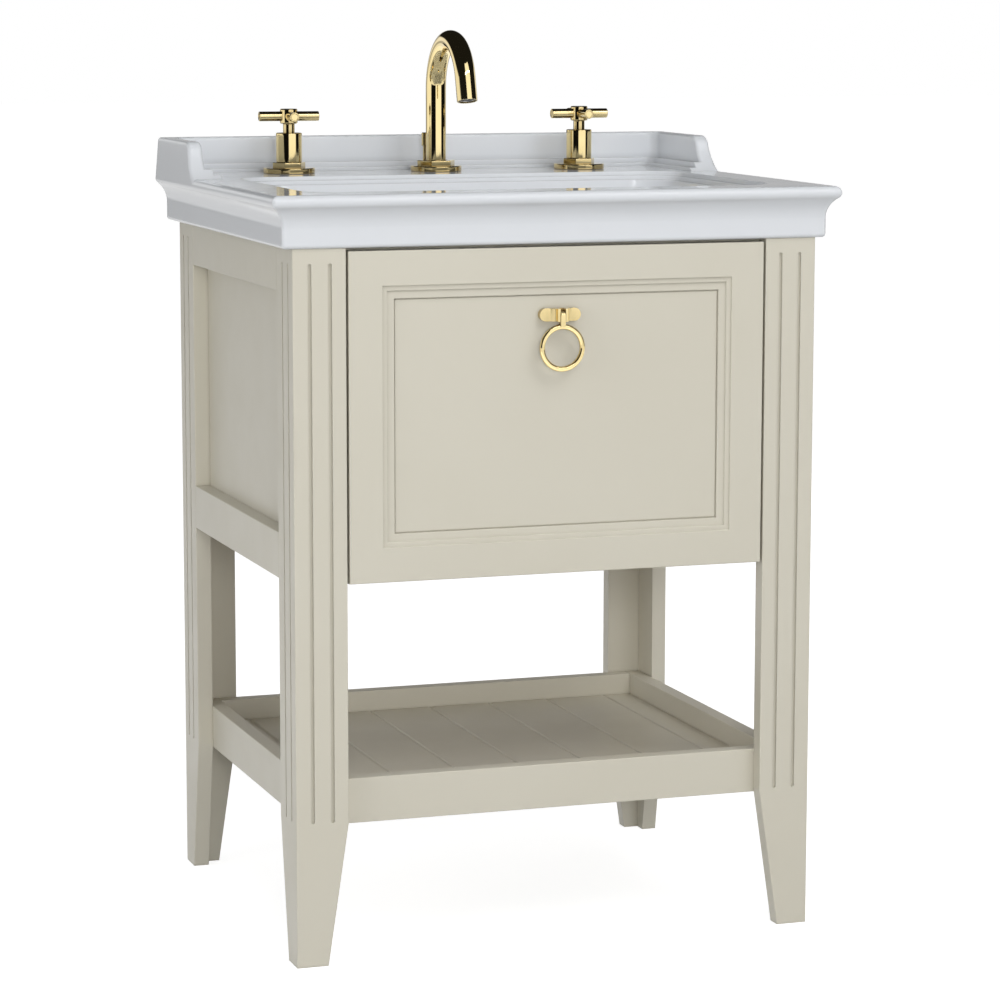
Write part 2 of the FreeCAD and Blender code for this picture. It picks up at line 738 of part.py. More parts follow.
def upstand():
    """Splashback with two side wings that sweep down to the rim in an S."""
    foot_z = rim_z - bullnose_radius
    drop = upstand_z - foot_z
    turn = math.acos(1 - drop / (wing_top_radius + wing_foot_radius))
    top_y = basin_back_y - wing_length
    bend_y = top_y - wing_top_radius * math.sin(turn)
    bend_z = upstand_z - wing_top_radius * (1 - math.cos(turn))
    foot_y = bend_y - wing_foot_radius * math.sin(turn)
    half = turn / 2
    x = -basin_width / 2
    crest = Part.Arc(V(x, top_y, upstand_z),
                     V(x, top_y - wing_top_radius * math.sin(half),
                       upstand_z - wing_top_radius * (1 - math.cos(half))),
                     V(x, bend_y, bend_z)).toShape()
    sweep = Part.Arc(V(x, bend_y, bend_z),
                     V(x, foot_y + wing_foot_radius * math.sin(half),
                       foot_z + wing_foot_radius * (1 - math.cos(half))),
                     V(x, foot_y, foot_z)).toShape()
    body = closed_prism([crest, sweep], [V(x, basin_back_y, foot_z), V(x, basin_back_y, upstand_z)],
                        V(basin_width, 0, 0))
    leaning = [V(x, foot_y, foot_z), V(-x, foot_y, foot_z),
               V(-x - wing_lean, foot_y, upstand_z), V(x + wing_lean, foot_y, upstand_z)]
    body = body.common(prism(leaning, V(0, basin_back_y - foot_y, 0)))
    ledges = ((0, upstand_ledge_height, upstand_height + cut_overrun),
              (1, upstand_low_ledge_height, upstand_ledge_height),
              (2, 0, upstand_low_ledge_height))
    for count, low, high in ledges:
        inset = count * upstand_step_width
        inner_x = basin_width / 2 - wing_thickness - inset
        inner_y = basin_back_y - upstand_thickness - inset
        body = body.cut(upright_slab(-inner_x, inner_x, -basin_depth, inner_y,
                                     rim_z + low, rim_z + high, upstand_corner))
    return round_edges(body, upstand_round, lambda p: near(p.z, upstand_z))


def bowl_outline(inset, z, corner):
    """Outline of the bowl at one height, inset from the inner edge of the rim."""
    return rounded_rectangle(-bowl_half + inset, bowl_half - inset, bowl_front_y + inset,
                             bowl_back_y - inset, z, corner)


def basin():
    """Ceramic basin: moulded rim, splashback, stepped bowl, tap holes and a hollow underside."""
    body = basin_block().fuse(upstand()).removeSplitter()
    hollow_x = basin_width / 2 - fascia_inset - apron_thickness
    hollow_front = -basin_depth / 2 + fascia_inset + apron_thickness
    hollow_back = basin_back_y - apron_thickness
    ledge_z = cabinet_height + seat_ledge_height
    body = body.cut(box(-hollow_x, hollow_x, hollow_front, hollow_back, ledge_z, deck_low_z))
    inset = seat_ledge_width
    body = body.cut(box(-hollow_x + inset, hollow_x - inset, hollow_front + inset, hollow_back - inset,
                        cabinet_height - cut_overrun, ledge_z))
    steps_z = rim_z - 2 * step_drop
    shell_corner = bowl_corner + bowl_wall
    shell = Part.makeLoft([bowl_outline(steps_inset - bowl_wall, steps_z, shell_corner),
                           bowl_outline(floor_inset - bowl_wall, bowl_low_z, shell_corner)], True, True)
    shell = round_edges(shell, floor_round, lambda p: near(p.z, bowl_low_z))
    body = body.fuse(shell)
    hollow = Part.makeLoft([bowl_outline(steps_inset, steps_z, bowl_corner),
                            bowl_outline(floor_inset, bowl_floor_z, bowl_corner)], True, True)
    hollow = round_edges(hollow, floor_round, lambda p: near(p.z, bowl_floor_z))
    for level in range(2):
        upper = rim_z - level * step_drop
        start = level * step_width
        hollow = hollow.fuse(Part.makeLoft([bowl_outline(start, upper, bowl_corner),
                                            bowl_outline(start + step_slope, upper - step_drop, bowl_corner)],
                                           True, True))
    body = body.cut(hollow)
    for x in (-tap_spacing, 0, tap_spacing):
        body = body.cut(rod(tap_hole_radius, V(x, tap_y, deck_low_z - cut_overrun),
                            V(x, tap_y, rim_z + cut_overrun)))
    slot = lift_rod_radius + lift_rod_play
    body = body.cut(rod(slot, V(lift_x, lift_y, deck_low_z - cut_overrun),
                        V(lift_x, lift_y, rim_z + cut_overrun)))
    body = body.cut(rod(drain_hole_radius, V(0, drain_y, bowl_low_z - cut_overrun),
                        V(0, drain_y, bowl_floor_z + cut_overrun)))
    return body


def tap_flange(x, bore):
    """Round flange on the deck."""
    low = V(x, tap_y, rim_z)
    high = V(x, tap_y, flange_top_z)
    disc = rod(flange_radius, low, high)
    disc = round_edges(disc, flange_round, lambda p: near(p.z, flange_top_z))
    return disc.cut(rod(bore, low, high))


def side_tap(x):
    """Fixed pieces of a side tap: flange, hexagon-footed sleeve and the valve under the deck."""
    axis = V(x, tap_y, 0)
    bore = valve_radius + thread_play
    valve_top = flange_top_z + valve_reach
    sleeve = hexagon(sleeve_hex_flats, x, tap_y, flange_top_z, collar_top_z)
    barrel = rod(sleeve_radius, axis + V(0, 0, collar_top_z), axis + V(0, 0, sleeve_top_z))
    barrel = round_edges(barrel, arris, lambda p: near(p.z, sleeve_top_z))
    sleeve = sleeve.fuse(barrel)
    sleeve = sleeve.cut(rod(bore, axis + V(0, 0, flange_top_z), axis + V(0, 0, valve_top)))
    sleeve = sleeve.cut(rod(spindle_radius + spindle_play, axis + V(0, 0, valve_top),
                            axis + V(0, 0, sleeve_top_z)))
    valve_low = rim_z - valve_drop
    valve = rod(valve_radius, axis + V(0, 0, valve_low), axis + V(0, 0, valve_top))
    valve = valve.fuse(rod(inlet_radius, axis + V(0, 0, valve_low - inlet_length), axis + V(0, 0, valve_low)))
    inward = -outlet_reach if x > 0 else outlet_reach
    outlet = V(x, tap_y, hose_z)
    valve = valve.fuse(rod(outlet_radius, outlet, outlet + V(inward, 0, 0)))
    return tap_flange(x, bore), sleeve, valve.removeSplitter()


def handle(x, rest_turn):
    """Cross handle: a hub on its spindle, with four round arms screwed into it."""
    axis = V(x, tap_y, 0)
    top = hub_low_z + hub_height
    hub = rod(hub_radius, axis + V(0, 0, hub_low_z), axis + V(0, 0, top))
    hub = round_edges(hub, hub_round, lambda p: near(p.z, top) or near(p.z, hub_low_z))
    spindle_low = flange_top_z + valve_reach + spindle_gap
    spindle = rod(spindle_radius, axis + V(0, 0, spindle_low), axis + V(0, 0, hub_low_z))
    arms = []
    for index in range(arm_count):
        turn = math.radians(rest_turn) + 2 * math.pi * index / arm_count
        outward = V(math.cos(turn), math.sin(turn), 0)
        start = axis + V(0, 0, arm_z)
        arm = rod(arm_radius, start, start + outward * arm_length)
        tip = [e for e in arm.Edges if near((e.CenterOfMass - start).Length, arm_length)]
        arms.append(arm.makeChamfer(arm_chamfer, tip).cut(hub))
    return hub.fuse(spindle).removeSplitter(), Part.makeCompound(arms)


def spout():
    """Swivelling gooseneck on a fixed shank with a tee, and its flange, collar and aerator."""
    axis = V(0, tap_y, 0)
    bore = valve_radius + thread_play
    rod_slot = rod(lift_rod_radius + lift_rod_play, V(lift_x, lift_y, rim_z - cut_overrun),
                   V(lift_x, lift_y, flange_top_z + cut_overrun))
    flange = tap_flange(0, bore).cut(rod_slot)
    collar = hexagon(spout_hex_flats, 0, tap_y, flange_top_z, collar_top_z)
    collar = collar.cut(rod(spout_radius + spout_play, axis + V(0, 0, flange_top_z),
                            axis + V(0, 0, collar_top_z)))
    inner = spout_radius - spout_wall
    shank_low = rim_z - valve_drop
    shank = rod(valve_radius, axis + V(0, 0, shank_low), axis + V(0, 0, flange_top_z))
    shank = shank.fuse(rod(inner - spigot_play, axis + V(0, 0, flange_top_z),
                           axis + V(0, 0, flange_top_z + spigot_height)))
    tee = V(0, tap_y, hose_z)
    shank = shank.fuse(rod(outlet_radius, tee - V(outlet_reach, 0, 0), tee + V(outlet_reach, 0, 0)))
    low = axis + V(0, 0, flange_top_z + spout_lift)
    top = axis + V(0, 0, flange_top_z + spout_rise)
    centre = top - V(0, spout_bend_radius, 0)
    turn = math.radians(spout_bend_angle)
    bend_end = centre + V(0, spout_bend_radius * math.cos(turn), spout_bend_radius * math.sin(turn))
    tip_way = V(0, -math.sin(turn), math.cos(turn))
    tip = bend_end + tip_way * spout_tip_length

    def bar(radius):
        column = rod(radius, low, top)
        section = Part.Face(Part.Wire(Part.makeCircle(radius, top, V(0, 0, 1))))
        bend = section.revolve(centre, V(1, 0, 0), spout_bend_angle)
        return column.fuse(bend).fuse(rod(radius, bend_end, tip)).removeSplitter()

    neck = bar(spout_radius).cut(bar(inner))
    aerator_radius = inner - spigot_play
    aerator_end = tip - tip_way * aerator_recess
    aerator = rod(aerator_radius, aerator_end - tip_way * aerator_length, aerator_end)
    aerator = aerator.cut(rod(aerator_radius - aerator_lip,
                              aerator_end - tip_way * aerator_recess, aerator_end))
    return {"spout_flange": flange, "spout_collar": collar, "spout_shank": shank.removeSplitter(),
            "spout_tube": neck, "spout_aerator": aerator}


def tap_fixings():
    """Rubber washers and hexagon lock nuts under the deck."""
    washers, nuts = [], []
    bore = valve_radius + thread_play
    washer_low = deck_low_z - washer_height
    for x in (-tap_spacing, 0, tap_spacing):
        at = V(x, tap_y, 0)
        washers.append(tube(washer_radius, bore, at + V(0, 0, washer_low), at + V(0, 0, deck_low_z)))
        nut = hexagon(nut_flats, x, tap_y, washer_low - nut_height, washer_low)
        nuts.append(nut.cut(rod(bore, at + V(0, 0, washer_low - nut_height), at + V(0, 0, washer_low))))
    return {"tap_washers": Part.makeCompound(washers), "tap_lock_nuts": Part.makeCompound(nuts)}


def hose():
    """Flexible hose from the left valve's outlet to the spout's tee, with a little sag."""
    start = -tap_spacing + outlet_reach
    end = -outlet_reach
    low = hose_z - hose_sag
    route = [V(start, tap_y, hose_z), V(start + hose_lead, tap_y, hose_z),
             V(start + hose_lead + hose_slope, tap_y, low), V(end - hose_lead - hose_slope, tap_y, low),
             V(end - hose_lead, tap_y, hose_z), V(end, tap_y, hose_z)]
    return sweep_round(bent_path(route, hose_bend), hose_radius)


def taps():
    """The whole three-hole mixer."""
    pieces = spout()
    sides = (("hot", -tap_spacing, hot_handle_turn), ("cold", tap_spacing, cold_handle_turn))
    for name, x, rest_turn in sides:
        flange, sleeve, valve = side_tap(x)
        hub, arms = handle(x, rest_turn)
        pieces[name + "_flange"] = flange
        pieces[name + "_sleeve"] = sleeve
        pieces[name + "_valve"] = valve
        pieces[name + "_handle_hub"] = hub
        pieces[name + "_handle_arms"] = arms
    pieces.update(tap_fixings())
    pieces["hot_hose"] = hose()
    pieces["cold_hose"] = mirror_left_right(pieces["hot_hose"])
    return pieces


def waste():
    """Waste fitting in the bowl: flanged body with a side port and a tail, gasket and nut."""
    axis = V(0, drain_y, 0)
    tail_low = chamber_low_z - waste_tail_length
    body = rod(waste_flange_radius, axis + V(0, 0, bowl_floor_z), axis + V(0, 0, waste_seat_z))
    body = round_edges(body, arris, lambda p: near(p.z, waste_seat_z))
    body = body.fuse(rod(waste_outer_radius, axis + V(0, 0, chamber_low_z), axis + V(0, 0, bowl_floor_z)))
    body = body.fuse(rod(waste_tail_radius, axis + V(0, 0, tail_low), axis + V(0, 0, chamber_low_z)))
    port = V(0, drain_y, lever_z)
    port_end = port + V(0, port_reach, 0)
    body = body.fuse(rod(port_radius, port, port_end))
    body = body.cut(rod(waste_inner_radius, axis + V(0, 0, chamber_low_z + waste_tail_wall),
                        axis + V(0, 0, waste_seat_z)))
    body = body.cut(rod(waste_tail_radius - waste_tail_wall, axis + V(0, 0, tail_low),
                        axis + V(0, 0, chamber_low_z + waste_tail_wall)))
    body = body.cut(rod(ball_radius + port_play, port, port_end))
    nut_top = bowl_low_z - waste_gasket_height
    bore = waste_outer_radius + thread_play
    gasket = tube(waste_gasket_radius, bore, axis + V(0, 0, nut_top), axis + V(0, 0, bowl_low_z))
    nut = hexagon(waste_nut_flats, 0, drain_y, nut_top - waste_nut_height, nut_top)
    nut = nut.cut(rod(bore, axis + V(0, 0, nut_top - waste_nut_height), axis + V(0, 0, nut_top)))
    return {"waste_body": body.removeSplitter(), "waste_gasket": gasket, "waste_nut": nut}


def pop_up():
    """Lift rod with its strap, the ball lever through the side port, and the plug it raises."""
    pivot = V(0, pivot_y, lever_z)
    swing = math.radians(lever_half_swing)
    outward = V(0, math.cos(swing), -math.sin(swing))
    inner_end = pivot - outward * (pivot_reach / math.cos(swing))
    outer_end = pivot + outward * ((lever_arm + lever_overhang) / math.cos(swing))
    lever = rod(lever_radius, inner_end, outer_end).fuse(Part.makeSphere(ball_radius, pivot))
    hook = pivot + outward * (lever_arm / math.cos(swing))
    clamp_top = V(lift_x, lift_y, rim_z - strap_top_gap)
    clamp_low = clamp_top - V(0, 0, strap_clamp_height)
    strap_end = strap_y + strap_thickness
    strap_left = (lift_x - strap_width) / 2
    strap_right = strap_left + strap_width
    strap = box(strap_left, strap_right, strap_y, strap_end, hook.z - strap_foot, clamp_top.z)
    strap = strap.cut(rod(strap_hole_radius, V(0, strap_y - cut_overrun, hook.z),
                          V(0, strap_end + cut_overrun, hook.z)))
    clamp = rod(strap_clamp_radius, clamp_low, clamp_top)
    beyond = box(strap_left, strap_right, strap_end, strap_end + strap_clamp_radius, clamp_low.z, clamp_top.z)
    strap = strap.fuse(clamp.cut(beyond)).removeSplitter()
    strap = strap.cut(rod(lift_rod_radius + spindle_play, clamp_low, clamp_top))
    knob_low = rim_z + knob_rest_height
    lift = rod(lift_rod_radius, clamp_low - V(0, 0, lift_rod_overlap), V(lift_x, lift_y, knob_low))
    knob = rod(knob_radius, V(lift_x, lift_y, knob_low), V(lift_x, lift_y, knob_low + knob_height))
    knob = round_edges(knob, arris, lambda p: p.z > knob_low - arris)
    cap_low = waste_seat_z + plug_lift
    axis = V(0, drain_y, 0)
    cap_edge = cap_low + plug_height - plug_dome
    cap = rod(plug_radius, axis + V(0, 0, cap_low), axis + V(0, 0, cap_edge))
    dome_radius = (plug_radius ** 2 + plug_dome ** 2) / (2 * plug_dome)
    dome = Part.makeSphere(dome_radius, axis + V(0, 0, cap_edge + plug_dome - dome_radius))
    over = rod(plug_radius, axis + V(0, 0, cap_edge), axis + V(0, 0, cap_edge + plug_dome + cut_overrun))
    plug = cap.fuse(dome.common(over)).removeSplitter()
    stem_low = inner_end.z + lever_radius + plug_rest_play
    plug = plug.fuse(rod(plug_stem_radius, axis + V(0, 0, stem_low), axis + V(0, 0, cap_low)))
    reach = waste_inner_radius - plug_fin_play
    half = plug_fin_thickness / 2
    fin_low = cap_low - plug_fin_height
    plug = plug.fuse(box(-reach, reach, drain_y - half, drain_y + half, fin_low, cap_low))
    plug = plug.fuse(box(-half, half, drain_y - reach, drain_y + reach, fin_low, cap_low))
    return {"lift_rod": lift.fuse(knob).removeSplitter(), "lift_strap": strap,
            "pop_up_lever": lever.removeSplitter(), "pop_up_plug": plug.removeSplitter()}


def main():
    """Build every piece and write one file each."""
    os.makedirs("parts", exist_ok=True)
    pieces = {}
    for group in (legs, cabinet_sides, cross_rails, shelf, drawer, runners, ring_pull, taps, waste, pop_up):
        pieces.update(group())
    pieces["basin"] = basin()
    for name, shape in pieces.items():
        shape.exportStep("parts/" + name + ".step")
        print(name, len(shape.Solids), round(shape.Volume), shape.isValid())
    print("lever arm", round(lever_arm, 3), "pivot", round(pivot_y, 3), round(lever_z, 3))


main()
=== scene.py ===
"""Looks of a painted washstand with a ceramic basin and a gold mixer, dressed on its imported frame."""

import logging
from abc import ABC, abstractmethod
from dataclasses import dataclass, field
from enum import Enum
from math import atan2, copysign, cos, pi, radians, sin, sqrt, tan
from typing import Callable, Sequence, Union

import bmesh
import bpy
from bpy.types import Material, Node, NodeOutputs, NodeSocket, NodeTree, Object
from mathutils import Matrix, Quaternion, Vector


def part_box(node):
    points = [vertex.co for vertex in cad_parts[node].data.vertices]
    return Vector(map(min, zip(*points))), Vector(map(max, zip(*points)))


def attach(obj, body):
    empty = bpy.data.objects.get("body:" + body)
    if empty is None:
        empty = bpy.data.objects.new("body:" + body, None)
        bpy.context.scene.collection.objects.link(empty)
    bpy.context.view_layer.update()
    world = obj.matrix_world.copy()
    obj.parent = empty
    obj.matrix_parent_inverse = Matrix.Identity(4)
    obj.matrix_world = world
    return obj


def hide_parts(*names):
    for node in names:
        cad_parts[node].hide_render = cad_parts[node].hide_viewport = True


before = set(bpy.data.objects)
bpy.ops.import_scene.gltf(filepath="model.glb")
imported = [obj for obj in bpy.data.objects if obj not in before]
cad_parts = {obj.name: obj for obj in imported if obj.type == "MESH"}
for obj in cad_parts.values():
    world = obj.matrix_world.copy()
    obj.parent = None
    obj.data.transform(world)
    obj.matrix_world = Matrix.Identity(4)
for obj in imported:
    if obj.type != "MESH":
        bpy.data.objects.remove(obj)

LOG = logging.getLogger("washstand")
MM = 0.001
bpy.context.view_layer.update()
UP = Vector((0.0, 0.0, 1.0))
RIGHT = Vector((1.0, 0.0, 0.0))
BACK = Vector((0.0, 1.0, 0.0))
WHITE = (1.0, 1.0, 1.0, 1.0)
EDGE_GAIN = 3.0
NUMBER = "NodeSocketFloat"
SOCKET_KINDS = {"Color": "NodeSocketColor", "Tone": "NodeSocketColor",
                "Normal": "NodeSocketVector", "Stretch": "NodeSocketVector"}
MIX_FACTOR, MIX_FIRST, MIX_SECOND, MIX_RESULT = 0, 6, 7, 2
Value = Union[float, int, tuple, NodeSocket]
Inputs = dict[str, Value]
Corner = tuple[float, float, float]
Profile = list[tuple[float, float]]
Outline = Callable[[float], Profile]


class Grain(Enum):
    """The way that streaks run, as the squeeze of each axis."""

    BOARD_ACROSS = (0.045, 1.0, 1.0)
    BOARD_ALONG = (1.0, 0.045, 1.0)
    ROLLED = (1.0, 0.02, 1.0)
    TURNED = (0.02, 0.02, 1.0)


class Effect(Enum):
    """Shared surface effects, each one node group with its name, its inputs and its outputs."""

    TONE_DRIFT = ("tone_drift", ("Color", "Tone", "Scale"), ("Color",))
    PEEL = ("peel", ("Fine", "Broad"), ("Height",))
    EDGE = ("edge", ("Radius", "Gain"), ("Mask", "Normal"))
    SMUDGE = ("smudge", ("Scale", "Low", "High"), ("Roughness",))
    GRAIN = ("grain", ("Stretch", "Scale"), ("Streak",))
    PAINTED_CORNER_SHADE = ("painted_corner_shade", ("Reach",), ("Mask",))


class Graph:
    """A node tree with short calls that add and join its nodes."""

    def __init__(self, tree: NodeTree) -> None:
        """Keep a material's, world's or group's tree and empty it."""
        self.tree = tree
        self.tree.nodes.clear()

    def add(self, kind: str, inputs: dict | None = None, **settings: object) -> Node:
        """Add a node, set its properties, and link its inputs or set them to constants.

        Args:
            kind: The node's type name.
            inputs: Constants or sockets by input name or number.
            settings: Properties of the node.

        Returns:
            The new node.
        """
        node = self.tree.nodes.new(kind)
        for name, value in settings.items():
            setattr(node, name, value)
        for key, value in (inputs or {}).items():
            if isinstance(value, NodeSocket):
                self.tree.links.new(value, node.inputs[key])
            else:
                node.inputs[key].default_value = value
        return node

    def math(self, operation: str, *values: Value) -> NodeSocket:
        """Add a math node with its inputs in order, and give its result."""
        return self.add("ShaderNodeMath", dict(enumerate(values)), operation=operation).outputs[0]

    def mix(self, factor: Value, first: Value, second: Value) -> NodeSocket:
        """Mix two colours, where the factor is the share of the second."""
        inputs = {MIX_FACTOR: factor, MIX_FIRST: first, MIX_SECOND: second}
        return self.add("ShaderNodeMix", inputs, data_type="RGBA").outputs[MIX_RESULT]

    def remap(self, value: Value, low: Value, high: Value, start: float = 0.0,
              end: float = 1.0) -> NodeSocket:
        """Stretch a value from the span of start and end to that of low and high, and hold it there."""
        inputs = {"Value": value, "From Min": start, "From Max": end, "To Min": low, "To Max": high}
        return self.add("ShaderNodeMapRange", inputs).outputs[0]

    def noise(self, scale: Value, detail: float) -> NodeSocket:
        """Add noise in the part's own frame, with so many features per metre."""
        place = self.add("ShaderNodeTexCoord").outputs["Object"]
        return self.add("ShaderNodeTexNoise", {"Vector": place, "Scale": scale, "Detail": detail}).outputs[0]

    def bump(self, height: Value, depth: float, strength: float, **normal: NodeSocket) -> NodeSocket:
        """Turn a height of 0 to 1, which is so many metres deep, into a normal over the given or true one."""
        inputs = {"Height": height, "Distance": depth, "Strength": strength, **normal}
        return self.add("ShaderNodeBump", inputs).outputs["Normal"]

    def effect(self, effect: Effect, **inputs: Value) -> NodeOutputs:
        """Place a shared effect with its own values, and give its outputs."""
        return self.add("ShaderNodeGroup", inputs, node_tree=EffectGraph.group(effect)).outputs

    def glow(self, colour: Value, strength: Value) -> NodeSocket:
        """Add an emission, and give its shader."""
        return self.add("ShaderNodeEmission", {"Color": colour, "Strength": strength}).outputs[0]

    def surface(self, shader: NodeSocket) -> None:
        """Show a shader on the material's surface."""
        self.add("ShaderNodeOutputMaterial", {"Surface": shader})

    def looked_at(self) -> NodeSocket:
        """Tell rays that look at the background from rays that light the object.

        Returns:
            1 for the first and 0 for the second.
        """
        path = self.add("ShaderNodeLightPath").outputs
        seen = self.math("MAXIMUM", path["Is Camera Ray"], path["Is Glossy Ray"])
        return self.math("MAXIMUM", seen, path["Is Transmission Ray"])


class EffectGraph(Graph):
    """The graph of a shared node group, with a method for each effect that gives the group's outputs."""

    @classmethod
    def group(cls, effect: Effect) -> NodeTree:
        """Give a group, building it the first time.

        Args:
            effect: Which effect.

        Returns:
            Its node tree.
        """
        name, inputs, outputs = effect.value
        tree = bpy.data.node_groups.get(name)
        if not tree:
            tree = bpy.data.node_groups.new(name, "ShaderNodeTree")
            for way, sockets in (("INPUT", inputs), ("OUTPUT", outputs)):
                for socket in sockets:
                    kind = SOCKET_KINDS.get(socket, NUMBER)
                    tree.interface.new_socket(name=socket, in_out=way, socket_type=kind)
            graph = cls(tree)
            given = graph.add("NodeGroupInput").outputs
            graph.add("NodeGroupOutput", getattr(graph, name)(given))
        return tree

    def tone_drift(self, given: NodeOutputs) -> Inputs:
        """Slow drift of a colour between itself and a second tone."""
        amount = self.remap(self.noise(given["Scale"], detail=4.0), low=-0.4, high=1.4)
        return {"Color": self.mix(amount, given["Color"], given["Tone"])}

    def peel(self, given: NodeOutputs) -> Inputs:
        """Fine waviness of a sprayed or glazed coat."""
        fine, broad = self.noise(given["Fine"], detail=2.0), self.noise(given["Broad"], detail=1.0)
        return {"Height": self.math("MULTIPLY_ADD", fine, 0.5, broad)}

    def edge(self, given: NodeOutputs) -> Inputs:
        """Rounded normals near edges, and a mask of where they lean from the true ones.

        Args:
            given: The group's inputs.

        Returns:
            Its outputs.
        """
        eased = self.add("ShaderNodeBevel", {"Radius": given["Radius"]}, samples=6).outputs[0]
        true = self.add("ShaderNodeNewGeometry").outputs["Normal"]
        along = self.add("ShaderNodeVectorMath", {0: eased, 1: true}, operation="DOT_PRODUCT")
        lean = self.math("SUBTRACT", 1.0, along.outputs["Value"])
        mask = self.add("ShaderNodeMath", {0: lean, 1: given["Gain"]}, operation="MULTIPLY", use_clamp=True)
        return {"Mask": mask.outputs[0], "Normal": eased}

    def painted_corner_shade(self, given: NodeOutputs) -> Inputs:
        """Mask of inner corners and gaps, for the painted shade that darkens them."""
        open_share = self.add("ShaderNodeAmbientOcclusion", {"Distance": given["Reach"]}, samples=8)
        return {"Mask": self.math("SUBTRACT", 1.0, open_share.outputs["AO"])}

    def smudge(self, given: NodeOutputs) -> Inputs:
        """Cloudy hand marks and water haze that dull a polished face."""
        cloud = self.noise(given["Scale"], detail=5.0)
        return {"Roughness": self.remap(cloud, given["Low"], given["High"], start=0.35, end=0.75)}

    def grain(self, given: NodeOutputs) -> Inputs:
        """Streaks that run one way, for wood and metal.

        Args:
            given: The group's inputs.

        Returns:
            Its outputs.
        """
        place = self.add("ShaderNodeTexCoord").outputs["Object"]
        drawn = self.add("ShaderNodeVectorMath", {0: place, 1: given["Stretch"]}, operation="MULTIPLY")
        streak = self.add("ShaderNodeTexNoise", {"Vector": drawn.outputs[0], "Scale": given["Scale"],
                                                  "Detail": 6.0, "Roughness": 0.6, "Distortion": 0.4})
        return {"Streak": streak.outputs[0]}


def bare(name: str) -> tuple[Material, Graph]:
    """Make a bare material.

    Args:
        name: Its name.

    Returns:
        The material and its graph.
    """
    made = bpy.data.materials.new(name)
    made.use_nodes = True
    return made, Graph(made.node_tree)


@dataclass(frozen=True)
class Finish(ABC):
    """One surface finish, built as a material the first time it is asked for."""

    name: str
    slot: str
    colour: tuple
    tone: tuple
    metallic: float = 0.0
    depth: float = 0.0
    strength: float = 0.0

    def material(self) -> Material:
        """Give the finish's material.

        Returns:
            The material, built once.
        """
        made = bpy.data.materials.get(self.name)
        if not made:
            made, graph = bare(self.name)
            graph.surface(graph.add("ShaderNodeBsdfPrincipled", self.inputs(graph)).outputs[0])
        return made

    @abstractmethod
    def inputs(self, graph: Graph) -> Inputs:
        """Give what feeds the shader, as constants and sockets by input name."""

    def drift(self, graph: Graph, scale: float) -> NodeSocket:
        """Give the colour as it drifts to the second tone."""
        return graph.effect(Effect.TONE_DRIFT, Color=self.colour, Tone=self.tone, Scale=scale)["Color"]

    def dress(self, *nodes: str) -> None:
        """Give CAD nodes this finish.

        Args:
            nodes: The nodes' names.
        """
        for node in nodes:
            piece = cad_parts[node]
            piece.data.materials.clear()
            piece.data.materials.append(self.material())
            LOG.info("dressed %s in %s", node, self.name)


@dataclass(frozen=True)
class Coat(Finish):
    """A finish in layers, where an edge radius, a reach of the painted corner shade or a depth of nothing
    leaves its layer out.
    """

    tone_scale: float = 1.0
    # Painted highlight along edges: its colour, the radius of the edge mask and its share.
    edge: tuple = WHITE
    edge_radius: float = 0.0
    painted_highlight_share: float = 0.0
    # Painted shade in corners and gaps: its colour and the reach of the occlusion that finds them.
    painted_corner_shade: tuple = WHITE
    painted_corner_shade_reach: float = 0.0
    haze: tuple = (1.0, 0.5, 0.5)
    peel: tuple = (1.0, 1.0)
    clear: float = 0.0
    clear_roughness: float = 0.05

    def inputs(self, graph: Graph) -> Inputs:
        """Lay a drifting colour, a painted highlight that makes edges paler, painted shade that makes corners
        darker, a peel and cloudy gloss.

        Args:
            graph: The material's graph.

        Returns:
            Constants and sockets by input name.
        """
        colour, normal = self.drift(graph, self.tone_scale), {}
        if self.edge_radius:
            # Painted highlight: colour turns paler towards edges, and normals round off there.
            edge = graph.effect(Effect.EDGE, Radius=self.edge_radius, Gain=EDGE_GAIN)
            share = graph.math("MULTIPLY", edge["Mask"], self.painted_highlight_share)
            colour, normal = graph.mix(share, colour, self.edge), {"Normal": edge["Normal"]}
        if self.painted_corner_shade_reach:
            # Painted shade: colour turns darker where ambient occlusion finds nearby surfaces.
            corner_shade_mask = graph.effect(Effect.PAINTED_CORNER_SHADE, Reach=self.painted_corner_shade_reach)["Mask"]
            colour = graph.mix(corner_shade_mask, colour, self.painted_corner_shade)
        if self.depth:
            height = graph.effect(Effect.PEEL, Fine=self.peel[0], Broad=self.peel[1])["Height"]
            normal = {"Normal": graph.bump(height, self.depth, self.strength, **normal)}
        scale, low, high = self.haze
        rough = graph.effect(Effect.SMUDGE, Scale=scale, Low=low, High=high)["Roughness"]
        return {"Base Color": colour, "Roughness": rough, "Metallic": self.metallic,
                "Coat Weight": self.clear, "Coat Roughness": self.clear_roughness, **normal}


@dataclass(frozen=True)
class SatinPaint(Coat):
    """Sprayed ivory paint with a faint peel, and a painted highlight that makes its arrises paler."""

    name: str = "satin_ivory_paint"
    slot: str = "paint"
    colour: tuple = (0.620, 0.591, 0.501, 1.0)
    tone: tuple = (0.600, 0.569, 0.475, 1.0)
    tone_scale: float = 5.0
    # Painted highlight on arrises: colour, radius and share.
    edge: tuple = (0.80, 0.775, 0.70, 1.0)
    edge_radius: float = 1.2 * MM
    painted_highlight_share: float = 0.65
    # Painted shade in corners: colour and reach.
    painted_corner_shade: tuple = (0.47, 0.44, 0.36, 1.0)
    painted_corner_shade_reach: float = 3.6 * MM
    haze: tuple = (18.0, 0.36, 0.46)
    peel: tuple = (900.0, 70.0)
    depth: float = 0.05 * MM
    strength: float = 0.6


